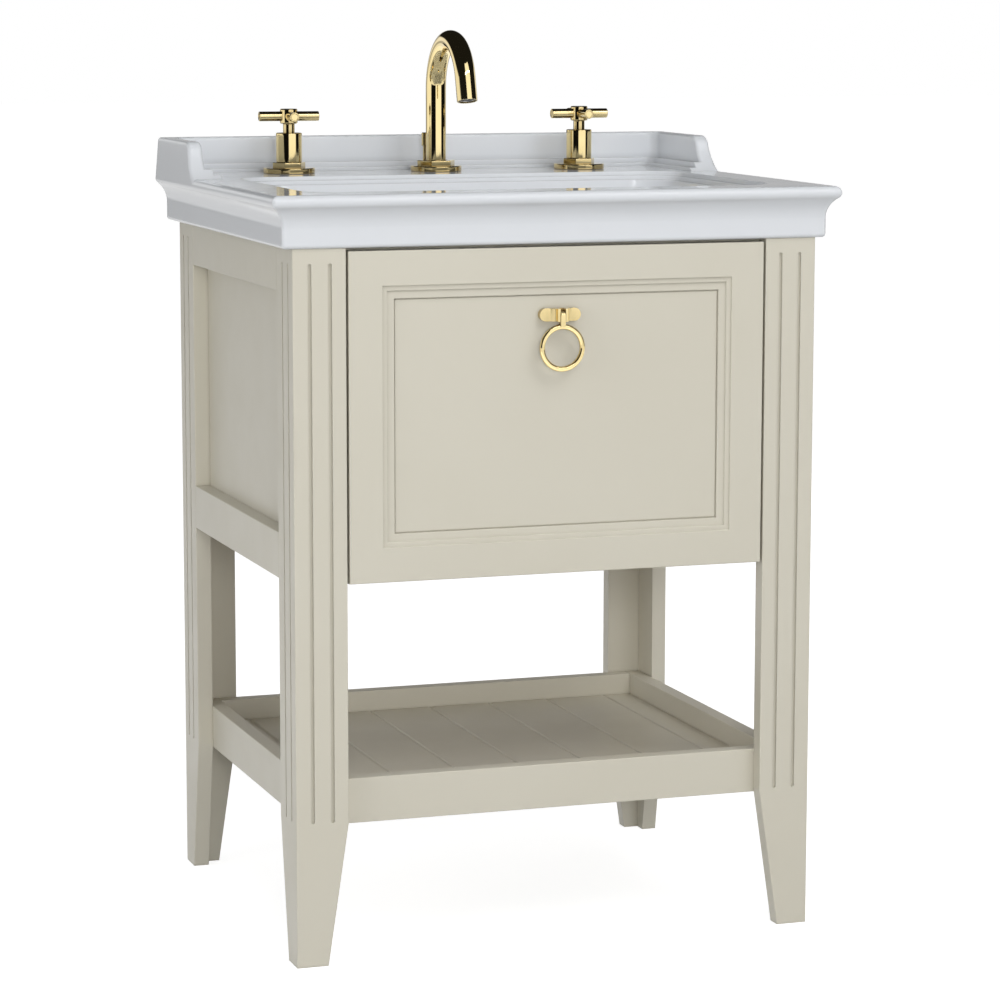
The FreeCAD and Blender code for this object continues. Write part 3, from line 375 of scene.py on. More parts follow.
@dataclass(frozen=True)
class GlazedCeramic(Coat):
    """White glaze, slightly wavy, with a painted highlight that makes its edges paler and painted shade that
    makes its corners darker.
    """

    name: str = "white_glaze"
    slot: str = "ceramic"
    colour: tuple = (0.70, 0.722, 0.75, 1.0)
    tone: tuple = (0.685, 0.707, 0.737, 1.0)
    tone_scale: float = 7.0
    # Painted highlight along edges: colour, radius and share.
    edge: tuple = (0.80, 0.815, 0.83, 1.0)
    edge_radius: float = 2.5 * MM
    painted_highlight_share: float = 1.0
    # Painted shade in corners: colour and reach.
    painted_corner_shade: tuple = (0.46, 0.48, 0.505, 1.0)
    painted_corner_shade_reach: float = 7.0 * MM
    haze: tuple = (22.0, 0.08, 0.13)
    peel: tuple = (45.0, 18.0)
    depth: float = 0.08 * MM
    strength: float = 0.4
    clear: float = 0.25


@dataclass(frozen=True)
class PolishedGold(Coat):
    """Mirror-polished gold plate with a breath of handling haze, and painted shade that darkens it near other
    surfaces.
    """

    name: str = "polished_gold"
    slot: str = "gold"
    colour: tuple = (0.97, 0.80, 0.43, 1.0)
    tone: tuple = (0.94, 0.755, 0.375, 1.0)
    tone_scale: float = 40.0
    edge_radius: float = 0.5 * MM
    # Painted shade near other surfaces: colour and reach.
    painted_corner_shade: tuple = (0.16, 0.09, 0.02, 1.0)
    painted_corner_shade_reach: float = 30.0 * MM
    haze: tuple = (90.0, 0.03, 0.07)
    metallic: float = 1.0


@dataclass(frozen=True)
class MouldedPlastic(Coat):
    """Pale moulded plastic with a spark-eroded grain."""

    name: str = "moulded_plastic"
    slot: str = "plastic"
    colour: tuple = (0.60, 0.60, 0.58, 1.0)
    tone: tuple = (0.56, 0.56, 0.545, 1.0)
    tone_scale: float = 20.0
    haze: tuple = (40.0, 0.42, 0.55)
    peel: tuple = (2200.0, 300.0)
    depth: float = 0.04 * MM
    strength: float = 0.7


@dataclass(frozen=True)
class BlackRubber(Coat):
    """Matt rubber with a dusty bloom."""

    name: str = "black_rubber"
    slot: str = "rubber"
    colour: tuple = (0.025, 0.025, 0.027, 1.0)
    tone: tuple = (0.06, 0.06, 0.06, 1.0)
    tone_scale: float = 80.0
    haze: tuple = (60.0, 0.6, 0.8)
    peel: tuple = (1500.0, 200.0)
    depth: float = 0.05 * MM
    strength: float = 0.8


@dataclass(frozen=True)
class Streaked(Finish):
    """A finish with streaks in its colour, gloss and relief."""

    grain: Grain = Grain.ROLLED
    scale: float = 1.0
    rough: tuple = (0.0, 1.0)

    def streak(self, graph: Graph, scale: float) -> NodeSocket:
        """Give streaks of one scale."""
        return graph.effect(Effect.GRAIN, Stretch=self.grain.value, Scale=scale)["Streak"]

    def tinted(self, graph: Graph, streak: NodeSocket) -> NodeSocket:
        """Give the colour as it follows the streaks to the second tone."""
        return graph.mix(streak, self.colour, self.tone)

    def inputs(self, graph: Graph) -> Inputs:
        """Give streaked colour, gloss and relief."""
        streak = self.streak(graph, self.scale)
        return {"Base Color": self.tinted(graph, streak), "Metallic": self.metallic,
                "Roughness": graph.remap(streak, *self.rough),
                "Normal": graph.bump(streak, self.depth, self.strength)}


@dataclass(frozen=True)
class TurnedBrass(Streaked):
    """Plain turned brass under the deck with lathe rings, dulled and a little dark."""

    name: str = "turned_brass"
    slot: str = "raw_brass"
    colour: tuple = (0.60, 0.45, 0.20, 1.0)
    tone: tuple = (0.45, 0.33, 0.15, 1.0)
    tone_scale: float = 60.0
    grain: Grain = Grain.TURNED
    scale: float = 2500.0
    rough: tuple = (0.25, 0.45)
    depth: float = 0.03 * MM
    strength: float = 0.6
    metallic: float = 1.0

    def tinted(self, graph: Graph, streak: NodeSocket) -> NodeSocket:
        """Give the colour, which drifts apart from the rings."""
        return self.drift(graph, self.tone_scale)


@dataclass(frozen=True)
class ZincSteel(Streaked):
    """Zinc-plated strip with rolling lines."""

    name: str = "zinc_steel"
    slot: str = "steel"
    colour: tuple = (0.56, 0.565, 0.58, 1.0)
    tone: tuple = (0.47, 0.475, 0.49, 1.0)
    scale: float = 1800.0
    rough: tuple = (0.24, 0.42)
    depth: float = 0.02 * MM
    strength: float = 0.5
    metallic: float = 1.0


@dataclass(frozen=True)
class BirchBoard(Streaked):
    """Lacquered birch whose grain runs along one axis."""

    name: str = "birch_board_along"
    slot: str = "drawer_board"
    colour: tuple = (0.66, 0.52, 0.35, 1.0)
    tone: tuple = (0.50, 0.355, 0.20, 1.0)
    grain: Grain = Grain.BOARD_ALONG
    scale: float = 420.0
    share: float = 0.45
    broad_scale: float = 38.0
    broad_share: float = 0.6
    rough: tuple = (0.32, 0.5)
    depth: float = 0.04 * MM
    strength: float = 0.5

    def tinted(self, graph: Graph, streak: NodeSocket) -> NodeSocket:
        """Give the colour as it follows fine and broad streaks to the second tone."""
        broad = graph.math("MULTIPLY", self.streak(graph, self.broad_scale), self.broad_share)
        return graph.mix(graph.math("MULTIPLY_ADD", streak, self.share, broad), self.colour, self.tone)


@dataclass(frozen=True)
class BraidedWire(Streaked):
    """Woven steel braid, dark between its strands, over a hose that runs from left to right."""

    name: str = "braided_wire"
    slot: str = "hose_braid"
    colour: tuple = (0.12, 0.12, 0.13, 1.0)
    tone: tuple = (0.62, 0.63, 0.65, 1.0)
    scale: float = 0.16 / (2.2 * MM)
    rough: tuple = (0.55, 0.28)
    depth: float = 0.4 * MM
    strength: float = 0.8
    metallic: float = 1.0
    lean: float = pi / 4

    def streak(self, graph: Graph, scale: float) -> NodeSocket:
        """Give two crossing sets of strands.

        Args:
            graph: The material's graph.
            scale: The strands' scale.

        Returns:
            1 on a strand and 0 between them.
        """
        place = graph.add("ShaderNodeTexCoord").outputs["Object"]
        strands = []
        for lean in (-self.lean, self.lean):
            turned = graph.add("ShaderNodeMapping", {"Vector": place, "Rotation": (0.0, 0.0, lean)})
            inputs = {"Vector": turned.outputs[0], "Scale": scale, "Distortion": 0.2}
            strands.append(graph.add("ShaderNodeTexWave", inputs).outputs["Fac"])
        return graph.math("MAXIMUM", *strands)


PAINT = SatinPaint()
GLAZE = GlazedCeramic()
GOLD = PolishedGold()
BRASS = TurnedBrass()
STEEL = ZincSteel()
BIRCH = BirchBoard()
BIRCH_ACROSS = BirchBoard(name="birch_board_across", grain=Grain.BOARD_ACROSS)
PLASTIC = MouldedPlastic()
RUBBER = BlackRubber()
BRAID = BraidedWire()


def turns(count: int) -> list[float]:
    """Give so many even turns round a circle."""
    return [2 * pi * index / count for index in range(count)]


def axes(way: Vector) -> tuple[Vector, Vector, Vector]:
    """Give three ways square to each other.

    Args:
        way: The first of them, of any length.

    Returns:
        The ways, each of length 1.
    """
    up = way.normalized()
    out = up.orthogonal().normalized()
    return up, out, up.cross(out)


def rounded(corners: Sequence[Corner], steps: int = 4) -> Profile:
    """Round the corners of an open outline.

    Args:
        corners: Two places and a rounding for each corner.
        steps: Faces in each rounding.

    Returns:
        The outline's points.
    """
    points: Profile = []
    for index, (first, second, radius) in enumerate(corners):
        here = Vector((first, second))
        if radius <= 0.0 or index in (0, len(corners) - 1):
            points.append((here.x, here.y))
            continue
        into = (here - Vector(corners[index - 1][:2])).normalized()
        away = (Vector(corners[index + 1][:2]) - here).normalized()
        turn = -into.angle_signed(away)
        start = here - into * radius * tan(abs(turn) / 2)
        centre = start + Vector((-into.y, into.x)) * copysign(radius, turn)
        arm = start - centre
        for step in range(steps + 1):
            swing = turn * step / steps
            points.append((centre.x + arm.x * cos(swing) - arm.y * sin(swing),
                           centre.y + arm.x * sin(swing) + arm.y * cos(swing)))
    return points


def hang(made: Object, finish: Finish, body: str, *stands_for: str) -> None:
    """Put an object in the scene, finish it and hang it on its body.

    Args:
        made: The new object.
        finish: Its finish.
        body: The body it moves with.
        stands_for: CAD nodes that it replaces.
    """
    bpy.context.scene.collection.objects.link(made)
    made.data.materials.append(finish.material())
    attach(made, body)
    if stands_for:
        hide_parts(*stands_for)
    LOG.info("built %s in %s", made.name, finish.name)


@dataclass
class Shell:
    """Closed surfaces joined into one mesh, in the part's frame."""

    sharp: float = radians(34.0)
    verts: list[Vector] = field(default_factory=list)
    faces: list[tuple[int, ...]] = field(default_factory=list)

    def skin(self, loops: Sequence[Sequence[Vector]], joined: bool = False) -> None:
        """Skin a row of loops that hold as many points each.

        Args:
            loops: The loops in order.
            joined: Whether the last loop meets the first, and not a cap at each end.
        """
        start, count, rows = len(self.verts), len(loops[0]), len(loops)
        for loop in loops:
            self.verts.extend(loop)
        for row in range(rows if joined else rows - 1):
            low, high = start + row * count, start + (row + 1) % rows * count
            for index in range(count):
                after = (index + 1) % count
                self.faces.append((low + index, low + after, high + after, high + index))
        if not joined:
            self.faces.append(tuple(start + index for index in reversed(range(count))))
            self.faces.append(tuple(start + (rows - 1) * count + index for index in range(count)))

    def lathe(self, profile: Profile, foot: Sequence[float], way: Vector = UP, sides: int = 96,
              joined: bool = False) -> None:
        """Turn a profile round an axis.

        Args:
            profile: Radius and height of each point.
            foot: Where the height is nothing.
            way: Which way the height grows.
            sides: Faces round the axis.
            joined: Whether the profile is a ring that closes on itself.
        """
        up, out, across = axes(way)
        self.skin([[Vector(foot) + up * height + (out * cos(turn) + across * sin(turn)) * radius
                    for turn in turns(sides)] for radius, height in profile], joined)

    def stack(self, outline: Outline, profile: Profile, place: Callable[..., tuple]) -> None:
        """Stack outlines by the inset and height of each, at the points that the call for a place gives."""
        self.skin([[Vector(place(first, second, height)) for first, second in outline(inset)]
                   for inset, height in profile])

    def piece(self, name: str, finish: Finish, body: str, *stands_for: str) -> None:
        """Make the object, finish it and hang it on its body.

        Args:
            name: The object's name.
            finish: Its finish.
            body: The body it moves with.
            stands_for: CAD nodes that it replaces.
        """
        mesh = bpy.data.meshes.new(name)
        mesh.from_pydata([tuple(point) for point in self.verts], [], self.faces)
        work = bmesh.new()
        work.from_mesh(mesh)
        bmesh.ops.recalc_face_normals(work, faces=work.faces)
        work.to_mesh(mesh)
        work.free()
        mesh.shade_smooth()
        mesh.set_sharp_from_angle(angle=self.sharp)
        made = bpy.data.objects.new(name, mesh)
        made.modifiers.new("weighted_normals", "WEIGHTED_NORMAL").keep_sharp = True
        hang(made, finish, body, *stands_for)


@dataclass
class ScrewHead:
    """A domed screw head with a cross recess. Its wall, dome and slot are shares of its radius and rise."""

    radius: float = 3.6 * MM
    rise: float = 1.8 * MM
    wall: float = 0.35
    dome: float = 0.97
    slot_half: float = 0.13
    slot_reach: float = 0.58
    slot_depth: float = 0.55
    sides: int = 48
    rings: int = 12

    def join(self, shell: Shell, place: Sequence[float], way: Vector) -> None:
        """Add the head to a shell.

        Args:
            shell: The shell that it joins.
            place: The middle of its underside.
            way: Which way the head faces.
        """
        up, out, across = axes(way)
        loops = []
        for ring in range(self.rings + 1):
            share = 1.0 - self.dome * max(ring - 1, 0) / (self.rings - 1)
            domed = self.wall + (1.0 - self.wall) * sqrt(1.0 - share * share)
            loop = []
            for turn in turns(self.sides):
                x, y = share * self.radius * cos(turn), share * self.radius * sin(turn)
                near, far = sorted((abs(x), abs(y)))
                cut = near < self.slot_half * self.radius and far < self.slot_reach * self.radius
                height = self.rise * (domed - (self.slot_depth if cut else 0.0)) if ring else 0.0
                loop.append(Vector(place) + out * x + across * y + up * height)
            loops.append(loop)
        shell.skin(loops)


@dataclass
class Stand:
    """The painted cabinet: legs, sides, rails and the tray shelf."""

    first_words: tuple = ("leg", "side", "front", "back", "shelf", "runner")

    def dress(self) -> None:
        """Paint every board of the stand."""
        boards = [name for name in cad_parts
                  if name.split("_")[0] in self.first_words and not name.endswith("runners")]
        PAINT.dress(*sorted(boards))


@dataclass
class Drawer:
    """The drawer with its moulded front and its runners."""

    arris: float = 1.1 * MM
    back_ease: float = 0.6 * MM
    insets: tuple = (38.0 * MM, 43.5 * MM, 52.0 * MM)
    step: float = 2.2 * MM
    nose: float = 0.9 * MM
    cove: float = 0.45 * MM
    quirk: float = 1.0 * MM
    quirk_round: float = 0.3 * MM
    panel_land: float = 30.0 * MM
    pull_z: float = 702.8 * MM
    pull_half: float = 15.0 * MM

    def front(self) -> None:
        """Build the front with eased edges, and a stepped moulding and a fine groove round its panel."""
        (left, depth, bottom), (right, back, top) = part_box("drawer_front")
        corners = [(self.back_ease, back, 0.0), (0.0, back - self.back_ease, 0.0), (0.0, depth, self.arris)]
        for inset in self.insets:
            corners += [(inset, depth, self.nose), (inset, depth + self.step, self.cove)]
            depth += self.step
        foot, far, sunk = self.insets[-1], self.insets[-1] + self.quirk, depth + self.quirk
        corners[-1] = (foot, sunk, 0.0)
        corners += [(far, sunk, 0.0), (far, depth, self.quirk_round), (foot + self.panel_land, depth, 0.0)]

        def outline(inset: float) -> Profile:
            """Give the front's outline for an inset."""
            return [(left + inset, bottom + inset), (right - inset, bottom + inset),
                    (right - inset, top - inset), (left + inset, top - inset)]
        shell = Shell()
        shell.stack(outline, rounded(corners, steps=5), lambda x, z, y: (x, y, z))
        shell.piece("drawer_front_moulded", PAINT, "drawer", "drawer_front")

    def fasteners(self) -> None:
        """Add the two screws that hold the pull."""
        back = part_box("drawer_front")[1][1]
        shell = Shell()
        for side in (-1, 1):
            ScrewHead().join(shell, (side * self.pull_half, back, self.pull_z), BACK)
        shell.piece("pull_screws", STEEL, "drawer")

    def dress(self) -> None:
        """Paint the front, lacquer the box and plate the runners."""
        self.front()
        self.fasteners()
        BIRCH.dress("drawer_side_left", "drawer_side_right", "drawer_bottom")
        BIRCH_ACROSS.dress("drawer_back")
        PLASTIC.dress("drawer_recess")
        STEEL.dress("cabinet_runners", "middle_runners", "drawer_runners")


@dataclass
class RingPull:
    """The ring pull on the drawer front."""

    wire: float = 2.95 * MM
    wire_sides: int = 40
    ring_sides: int = 128
    stem_half: float = 2.85 * MM
    stem_round: float = 3.9 * MM
    stem_core: float = 3.0 * MM
    stem_steps: int = 20
    pivot_drop: float = 3.9 * MM
    ease: float = 0.7 * MM

    def ring(self) -> None:
        """Build the ring with the flat stem that turns on the pin."""
        low, high = (Vector(corner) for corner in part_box("pull_ring"))
        x, y, outer = (low.x + high.x) / 2, (low.y + high.y) / 2, (high.x - low.x) / 2
        radius = outer - self.wire
        pivot, foot = high.z - self.pivot_drop, low.z + outer + radius
        left, right = x - self.stem_half, x + self.stem_half
        shell = Shell()
        shell.lathe([(radius + self.wire * cos(turn), self.wire * sin(turn))
                     for turn in turns(self.wire_sides)],
                    (x, y, low.z + outer), -BACK, self.ring_sides, joined=True)

        swings = [pi * step / self.stem_steps for step in range(self.stem_steps + 1)]

        def outline(inset: float) -> Profile:
            """Give the stem's side outline for an inset."""
            reach = self.stem_round - inset
            return [(-reach, foot), (reach, foot)] + [
                (reach * cos(swing), pivot + reach * sin(swing)) for swing in swings]
        shell.stack(outline, rounded([(self.stem_core, left, 0), (0.0, left, self.ease),
                                      (0.0, right, self.ease), (self.stem_core, right, 0)]),
                    lambda along, up, across: (across, y + along, up))
        shell.piece("pull_ring_polished", GOLD, "ring", "pull_ring")

    def dress(self) -> None:
        """Gild the plate and the pin and hang the ring."""
        GOLD.dress("pull_plate", "pull_pin")
        self.ring()


@dataclass
class Basin:
    """The ceramic basin with its waste."""

    def dress(self) -> None:
        """Glaze the basin and finish the waste."""
        GLAZE.dress("basin")
        GOLD.dress("waste_body", "pop_up_plug")
        BRASS.dress("waste_nut")
        RUBBER.dress("waste_gasket")
        STEEL.dress("pop_up_lever", "lift_strap")


@dataclass
class DeckFitting:
    """What the taps and the spout share: a turned flange on the deck, and a hexagon foot on it."""

    name: str
    flats: float
    foot_rise: float = 6.5 * MM
    foot_tuck: float = 0.8 * MM
    foot_round: float = 0.9 * MM
    corner: float = 0.6 * MM
    corner_steps: int = 4
    groove: float = 0.5 * MM
    groove_depth: float = 0.8 * MM
    rim_round: float = 1.3 * MM
    flange_core: float = 0.4

    def middle(self) -> tuple[float, float, float]:
        """Give the middle of the flange's top."""
        (left, front, _), (right, back, top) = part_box(f"{self.name}_flange")
        return (left + right) / 2, (front + back) / 2, top

    def flange(self) -> None:
        """Turn the flange with an eased rim and a shadow groove under it."""
        x, y, top = self.middle()
        (left, _, bottom), (right, _, _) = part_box(f"{self.name}_flange")
        radius, lip = (right - left) / 2, bottom + self.groove
        tuck = radius - self.groove_depth
        shell = Shell()
        corners = [(tuck, bottom, 0), (tuck, lip, 0), (radius, lip, 0), (radius, top, self.rim_round),
                   (radius * self.flange_core, top, 0)]
        shell.lathe(rounded(corners), (x, y, 0.0))
        shell.piece(f"{self.name}_flange_turned", GOLD, "cabinet", f"{self.name}_flange")

    def hexagon(self, inset: float) -> Profile:
        """Give the foot's outline, with eased corners and one of them to the right.

        Args:
            inset: How far it lies inside the full one.

        Returns:
            The outline's points.
        """
        reach = (self.flats / 2 - inset - self.corner) / cos(pi / 6)
        swings = [pi / 3 * (step / self.corner_steps - 0.5) for step in range(self.corner_steps + 1)]
        return [(reach * cos(middle) + self.corner * cos(middle + swing),
                 reach * sin(middle) + self.corner * sin(middle + swing))
                for middle in turns(6) for swing in swings]

    def foot(self, shell: Shell, *end: Corner) -> float:
        """Stand the hexagon foot on the flange.

        Args:
            shell: The shell that it joins.
            end: Inset, height over the foot's top and rounding of each corner that ends the top.

        Returns:
            The height of the foot's top.
        """
        x, y, deck = self.middle()
        top = deck + self.foot_rise
        corners = [(self.foot_tuck, deck, 0), (0.0, deck, 0), (0.0, top, self.foot_round)]
        corners += [(inset, top + height, rounding) for inset, height, rounding in end]
        shell.stack(self.hexagon, rounded(corners), lambda a, b, z: (x + a, y + b, z))
        return top


@dataclass
class SideTap(DeckFitting):
    """One cross-handled tap on the deck, with its supply hose below."""

    flats: float = 34.4 * MM
    turn: float = 0.0
    foot_land: float = 9.0 * MM
    barrel: float = 15.3 * MM
    barrel_round: float = 1.1 * MM
    neck_sunk: float = 1.0 * MM
    seam: float = 0.5 * MM
    well: float = 1.2 * MM
    well_foot: float = 0.6 * MM
    well_depth: float = 3.0 * MM
    well_round: float = 0.5 * MM
    spindle: float = 6.8 * MM
    spindle_round: float = 0.6 * MM
    hub: float = 10.3 * MM
    hub_rise: float = 17.5 * MM
    hub_round: float = 1.5 * MM
    hub_core: float = 0.3
    arm: float = 5.7 * MM
    arm_root: float = 0.55
    arm_round: float = 0.8 * MM
    arm_sides: int = 56
    arm_shares: tuple = (0.8, 0.74, 0.70, 0.1)
    dish: float = 0.5 * MM
    dish_round: float = 0.3 * MM
    hose: float = 6.0 * MM
    hose_sag: float = 22.0 * MM
    hose_route: tuple = ((0.0, 0.0), (0.13, 0.0), (0.26, 0.35), (0.38, 1.0),
                         (0.62, 1.0), (0.74, 0.35), (0.87, 0.0), (1.0, 0.0))
    ferrule: float = 7.4 * MM
    ferrule_length: float = 15.0 * MM
    ferrule_round: float = 0.6 * MM
    ferrule_sides: int = 48
    ferrule_bore: float = 0.9
    crimps: tuple = (0.30, 0.52, 0.74)
    crimp: tuple = ((0.0, 0.0), (0.7 * MM, 0.5 * MM), (1.4 * MM, 0.0))
    crimp_round: float = 0.3 * MM

    def sleeve(self) -> None:
        """Build the hexagon foot and the barrel above it."""
        x, y, _ = self.middle()
        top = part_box(f"{self.name}_sleeve")[1][2]
        shell = Shell()
        foot = self.foot(shell, (self.foot_land, 0.0, 0))
        neck, seam = self.barrel - self.seam, foot + self.seam
        shell.lathe(rounded([(neck, foot - self.neck_sunk, 0), (neck, seam, 0), (self.barrel, seam, 0),
                             (self.barrel, top, self.barrel_round),
                             (self.spindle + self.well, top, self.well_round),
                             (self.spindle + self.well_foot, top - self.well_depth, 0)]), (x, y, 0.0))
        shell.piece(f"{self.name}_sleeve_turned", GOLD, "cabinet", f"{self.name}_sleeve")

    def handle(self) -> None:
        """Build the hub on its spindle and the four arms with recessed ends."""
        x, y, _ = self.middle()
        (_, _, bottom), (_, _, top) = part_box(f"{self.name}_handle_hub")
        (_, _, arm_low), (arm_end, _, arm_high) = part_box(f"{self.name}_handle_arms")
        seat, reach, root = top - self.hub_rise, arm_end - x, self.hub * self.arm_root
        shell = Shell()
        shell.lathe(rounded([(self.spindle, bottom, 0), (self.spindle, seat, self.spindle_round),
                             (self.hub, seat, self.hub_round), (self.hub, top, self.hub_round),
                             (self.hub * self.hub_core, top, 0)], steps=6), (x, y, 0.0))
        shell.piece(f"{self.name}_hub_turned", GOLD, f"{self.name}_handle", f"{self.name}_handle_hub")
        bore, rim, dish, core = (self.arm * share for share in self.arm_shares)
        profile = rounded([(bore, root, 0), (self.arm, root, 0), (self.arm, reach, self.arm_round),
                           (rim, reach, self.dish_round), (dish, reach - self.dish, self.dish_round),
                           (core, reach - self.dish, 0)])
        shell = Shell()
        for quarter in turns(4):
            way = Vector((cos(self.turn + quarter), sin(self.turn + quarter), 0.0))
            shell.lathe(profile, (x, y, (arm_low + arm_high) / 2), way, self.arm_sides)
        shell.piece(f"{self.name}_arms_turned", GOLD, f"{self.name}_handle", f"{self.name}_handle_arms")

    def supply(self) -> None:
        """Hang the braided hose between the valve and the spout's tee, with crimped ferrules."""
        (left, front, _), (right, back, top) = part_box(f"{self.name}_hose")
        y, z = (front + back) / 2, top - self.hose
        inner, outer = sorted((left, right), key=abs)
        curve = bpy.data.curves.new(f"{self.name}_hose_braided", "CURVE")
        curve.dimensions = "3D"
        curve.bevel_depth = self.hose
        curve.bevel_resolution = 8
        curve.use_fill_caps = True
        spline = curve.splines.new("NURBS")
        spline.points.add(len(self.hose_route) - 1)
        for point, (share, drop) in zip(spline.points, self.hose_route):
            point.co = (outer + (inner - outer) * share, y, z - drop * self.hose_sag, 1.0)
        spline.order_u = 3
        spline.resolution_u = 12
        spline.use_endpoint_u = True
        hang(bpy.data.objects.new(curve.name, curve), BRAID, "cabinet", f"{self.name}_hose")
        bore, wide, length = self.hose * self.ferrule_bore, self.ferrule, self.ferrule_length
        corners = [(bore, 0.0, 0), (wide, 0.0, self.ferrule_round)]
        corners += [(wide - depth, length * share + along, self.crimp_round)
                    for share in self.crimps for along, depth in self.crimp]
        corners += [(wide, length, self.ferrule_round), (bore, length, 0)]
        shell = Shell()
        for start, end in ((outer, inner), (inner, outer)):
            shell.lathe(rounded(corners, steps=3), (start, y, z), RIGHT * (end - start), self.ferrule_sides)
        shell.piece(f"{self.name}_ferrules", STEEL, "cabinet")

    def build(self) -> None:
        """Build the whole tap."""
        self.flange()
        self.sleeve()
        self.handle()
        self.supply()
        BRASS.dress(f"{self.name}_valve")


@dataclass
class Spout(DeckFitting):
    """The swivelling spout with its collar, aerator and pop-up knob."""

    name: str = "spout"
    flats: float = 40.6 * MM
    mouth_ends: tuple = ((7.6 * MM, 0.0, 0.4 * MM), (8.0 * MM, -1.0 * MM, 0.0))
    bend: float = 57.0 * MM
    sweep: float = radians(165.0)
    rise: float = 935.5 * MM
    tip: float = 28.0 * MM
    aerator: tuple = ((8.7 * MM, -8.5 * MM, 0.0), (10.45 * MM, -8.5 * MM, 0.0),
                      (10.45 * MM, -1.5 * MM, 0.5 * MM), (9.0 * MM, -1.5 * MM, 0.4 * MM),
                      (8.7 * MM, -2.6 * MM, 0.0))
    aerator_sides: int = 64
    screen: float = 8.7 * MM
    screen_share: float = 0.97
    screen_depths: tuple = (-4.0 * MM, -4.4 * MM)
    wires: int = 11
    wire: float = 0.22 * MM
    wire_sides: int = 6
    wire_held: float = 0.4 * MM

    def collar(self) -> None:
        """Build the hexagon collar."""
        shell = Shell()
        self.foot(shell, *self.mouth_ends)
        shell.piece("spout_collar_chamfered", GOLD, "cabinet", "spout_collar")

    def outlet(self) -> None:
        """Build the aerator: a ring round a wire screen."""
        x, y, _ = self.middle()
        sine, cosine = sin(self.sweep), cos(self.sweep)
        way = Vector((0.0, -sine, cosine))
        bent = Vector((x, y - self.bend + self.bend * cosine, self.rise + self.bend * sine))
        mouth = bent + way * self.tip
        shell = Shell()
        shell.lathe(rounded(self.aerator), mouth, way, self.aerator_sides, joined=True)
        along = way.cross(RIGHT).normalized()
        for first, second, depth in zip((RIGHT, along), (along, RIGHT), self.screen_depths):
            for index in range(self.wires):
                off = (2 * (index + 0.5) / self.wires - 1.0) * self.screen * self.screen_share
                half = sqrt(self.screen ** 2 - off ** 2) + self.wire_held
                start = mouth + way * depth + second * off - first * half
                shell.lathe([(self.wire, 0.0), (self.wire, 2 * half)], start, first, self.wire_sides)
        shell.piece("spout_aerator_screen", STEEL, "spout", "spout_aerator")

    def build(self) -> None:
        """Build the whole spout."""
        self.flange()
        self.collar()
        self.outlet()
        GOLD.dress("spout_tube", "lift_rod")


@dataclass
class Mixer:
    """The three-hole mixer."""

    hot_turn: float = radians(-4.0)

    def dress(self) -> None:
        """Build what shows above the deck and finish what is under it."""
        for fitting in (SideTap("hot", turn=self.hot_turn), SideTap("cold"), Spout()):
            fitting.build()
        BRASS.dress("spout_shank", "tap_lock_nuts")
        RUBBER.dress("tap_washers")


def grey(level: float) -> tuple:
    """Give a grey of one level."""
    return level, level, level, 1.0


def facing(way: Vector) -> Quaternion:
    """Give the turn of a lamp or a camera that looks one way."""
    return way.to_track_quat("-Z", "Y")


def put_up(made: Object, place: Sequence[float], turn: Quaternion) -> None:
    """Put a lamp, the camera or a piece of the studio in the scene.

    Args:
        made: The new object.
        place: Where it stands.
        turn: How it is turned.
    """
    made.location = place
    made.rotation_mode = "QUATERNION"
    made.rotation_quaternion = turn
    bpy.context.scene.collection.objects.link(made)
    LOG.info("put up %s", made.name)


@dataclass(frozen=True)
class Lamp:
    """A soft square lamp, with the share of full white that it gives a face square to it as its level."""

    name: str
    place: tuple
    target: tuple
    size: float
    level: float

    def hang(self) -> None:
        """Hang the lamp where no reflection shows it."""
        way = Vector(self.target) - Vector(self.place)
        light = bpy.data.lights.new(self.name, "AREA")
        light.shape = "SQUARE"
        light.size = self.size
        light.energy = self.level * pi ** 2 * way.length_squared
        lamp = bpy.data.objects.new(self.name, light)
        lamp.visible_glossy = False
        lamp.visible_camera = False
        put_up(lamp, self.place, facing(way))


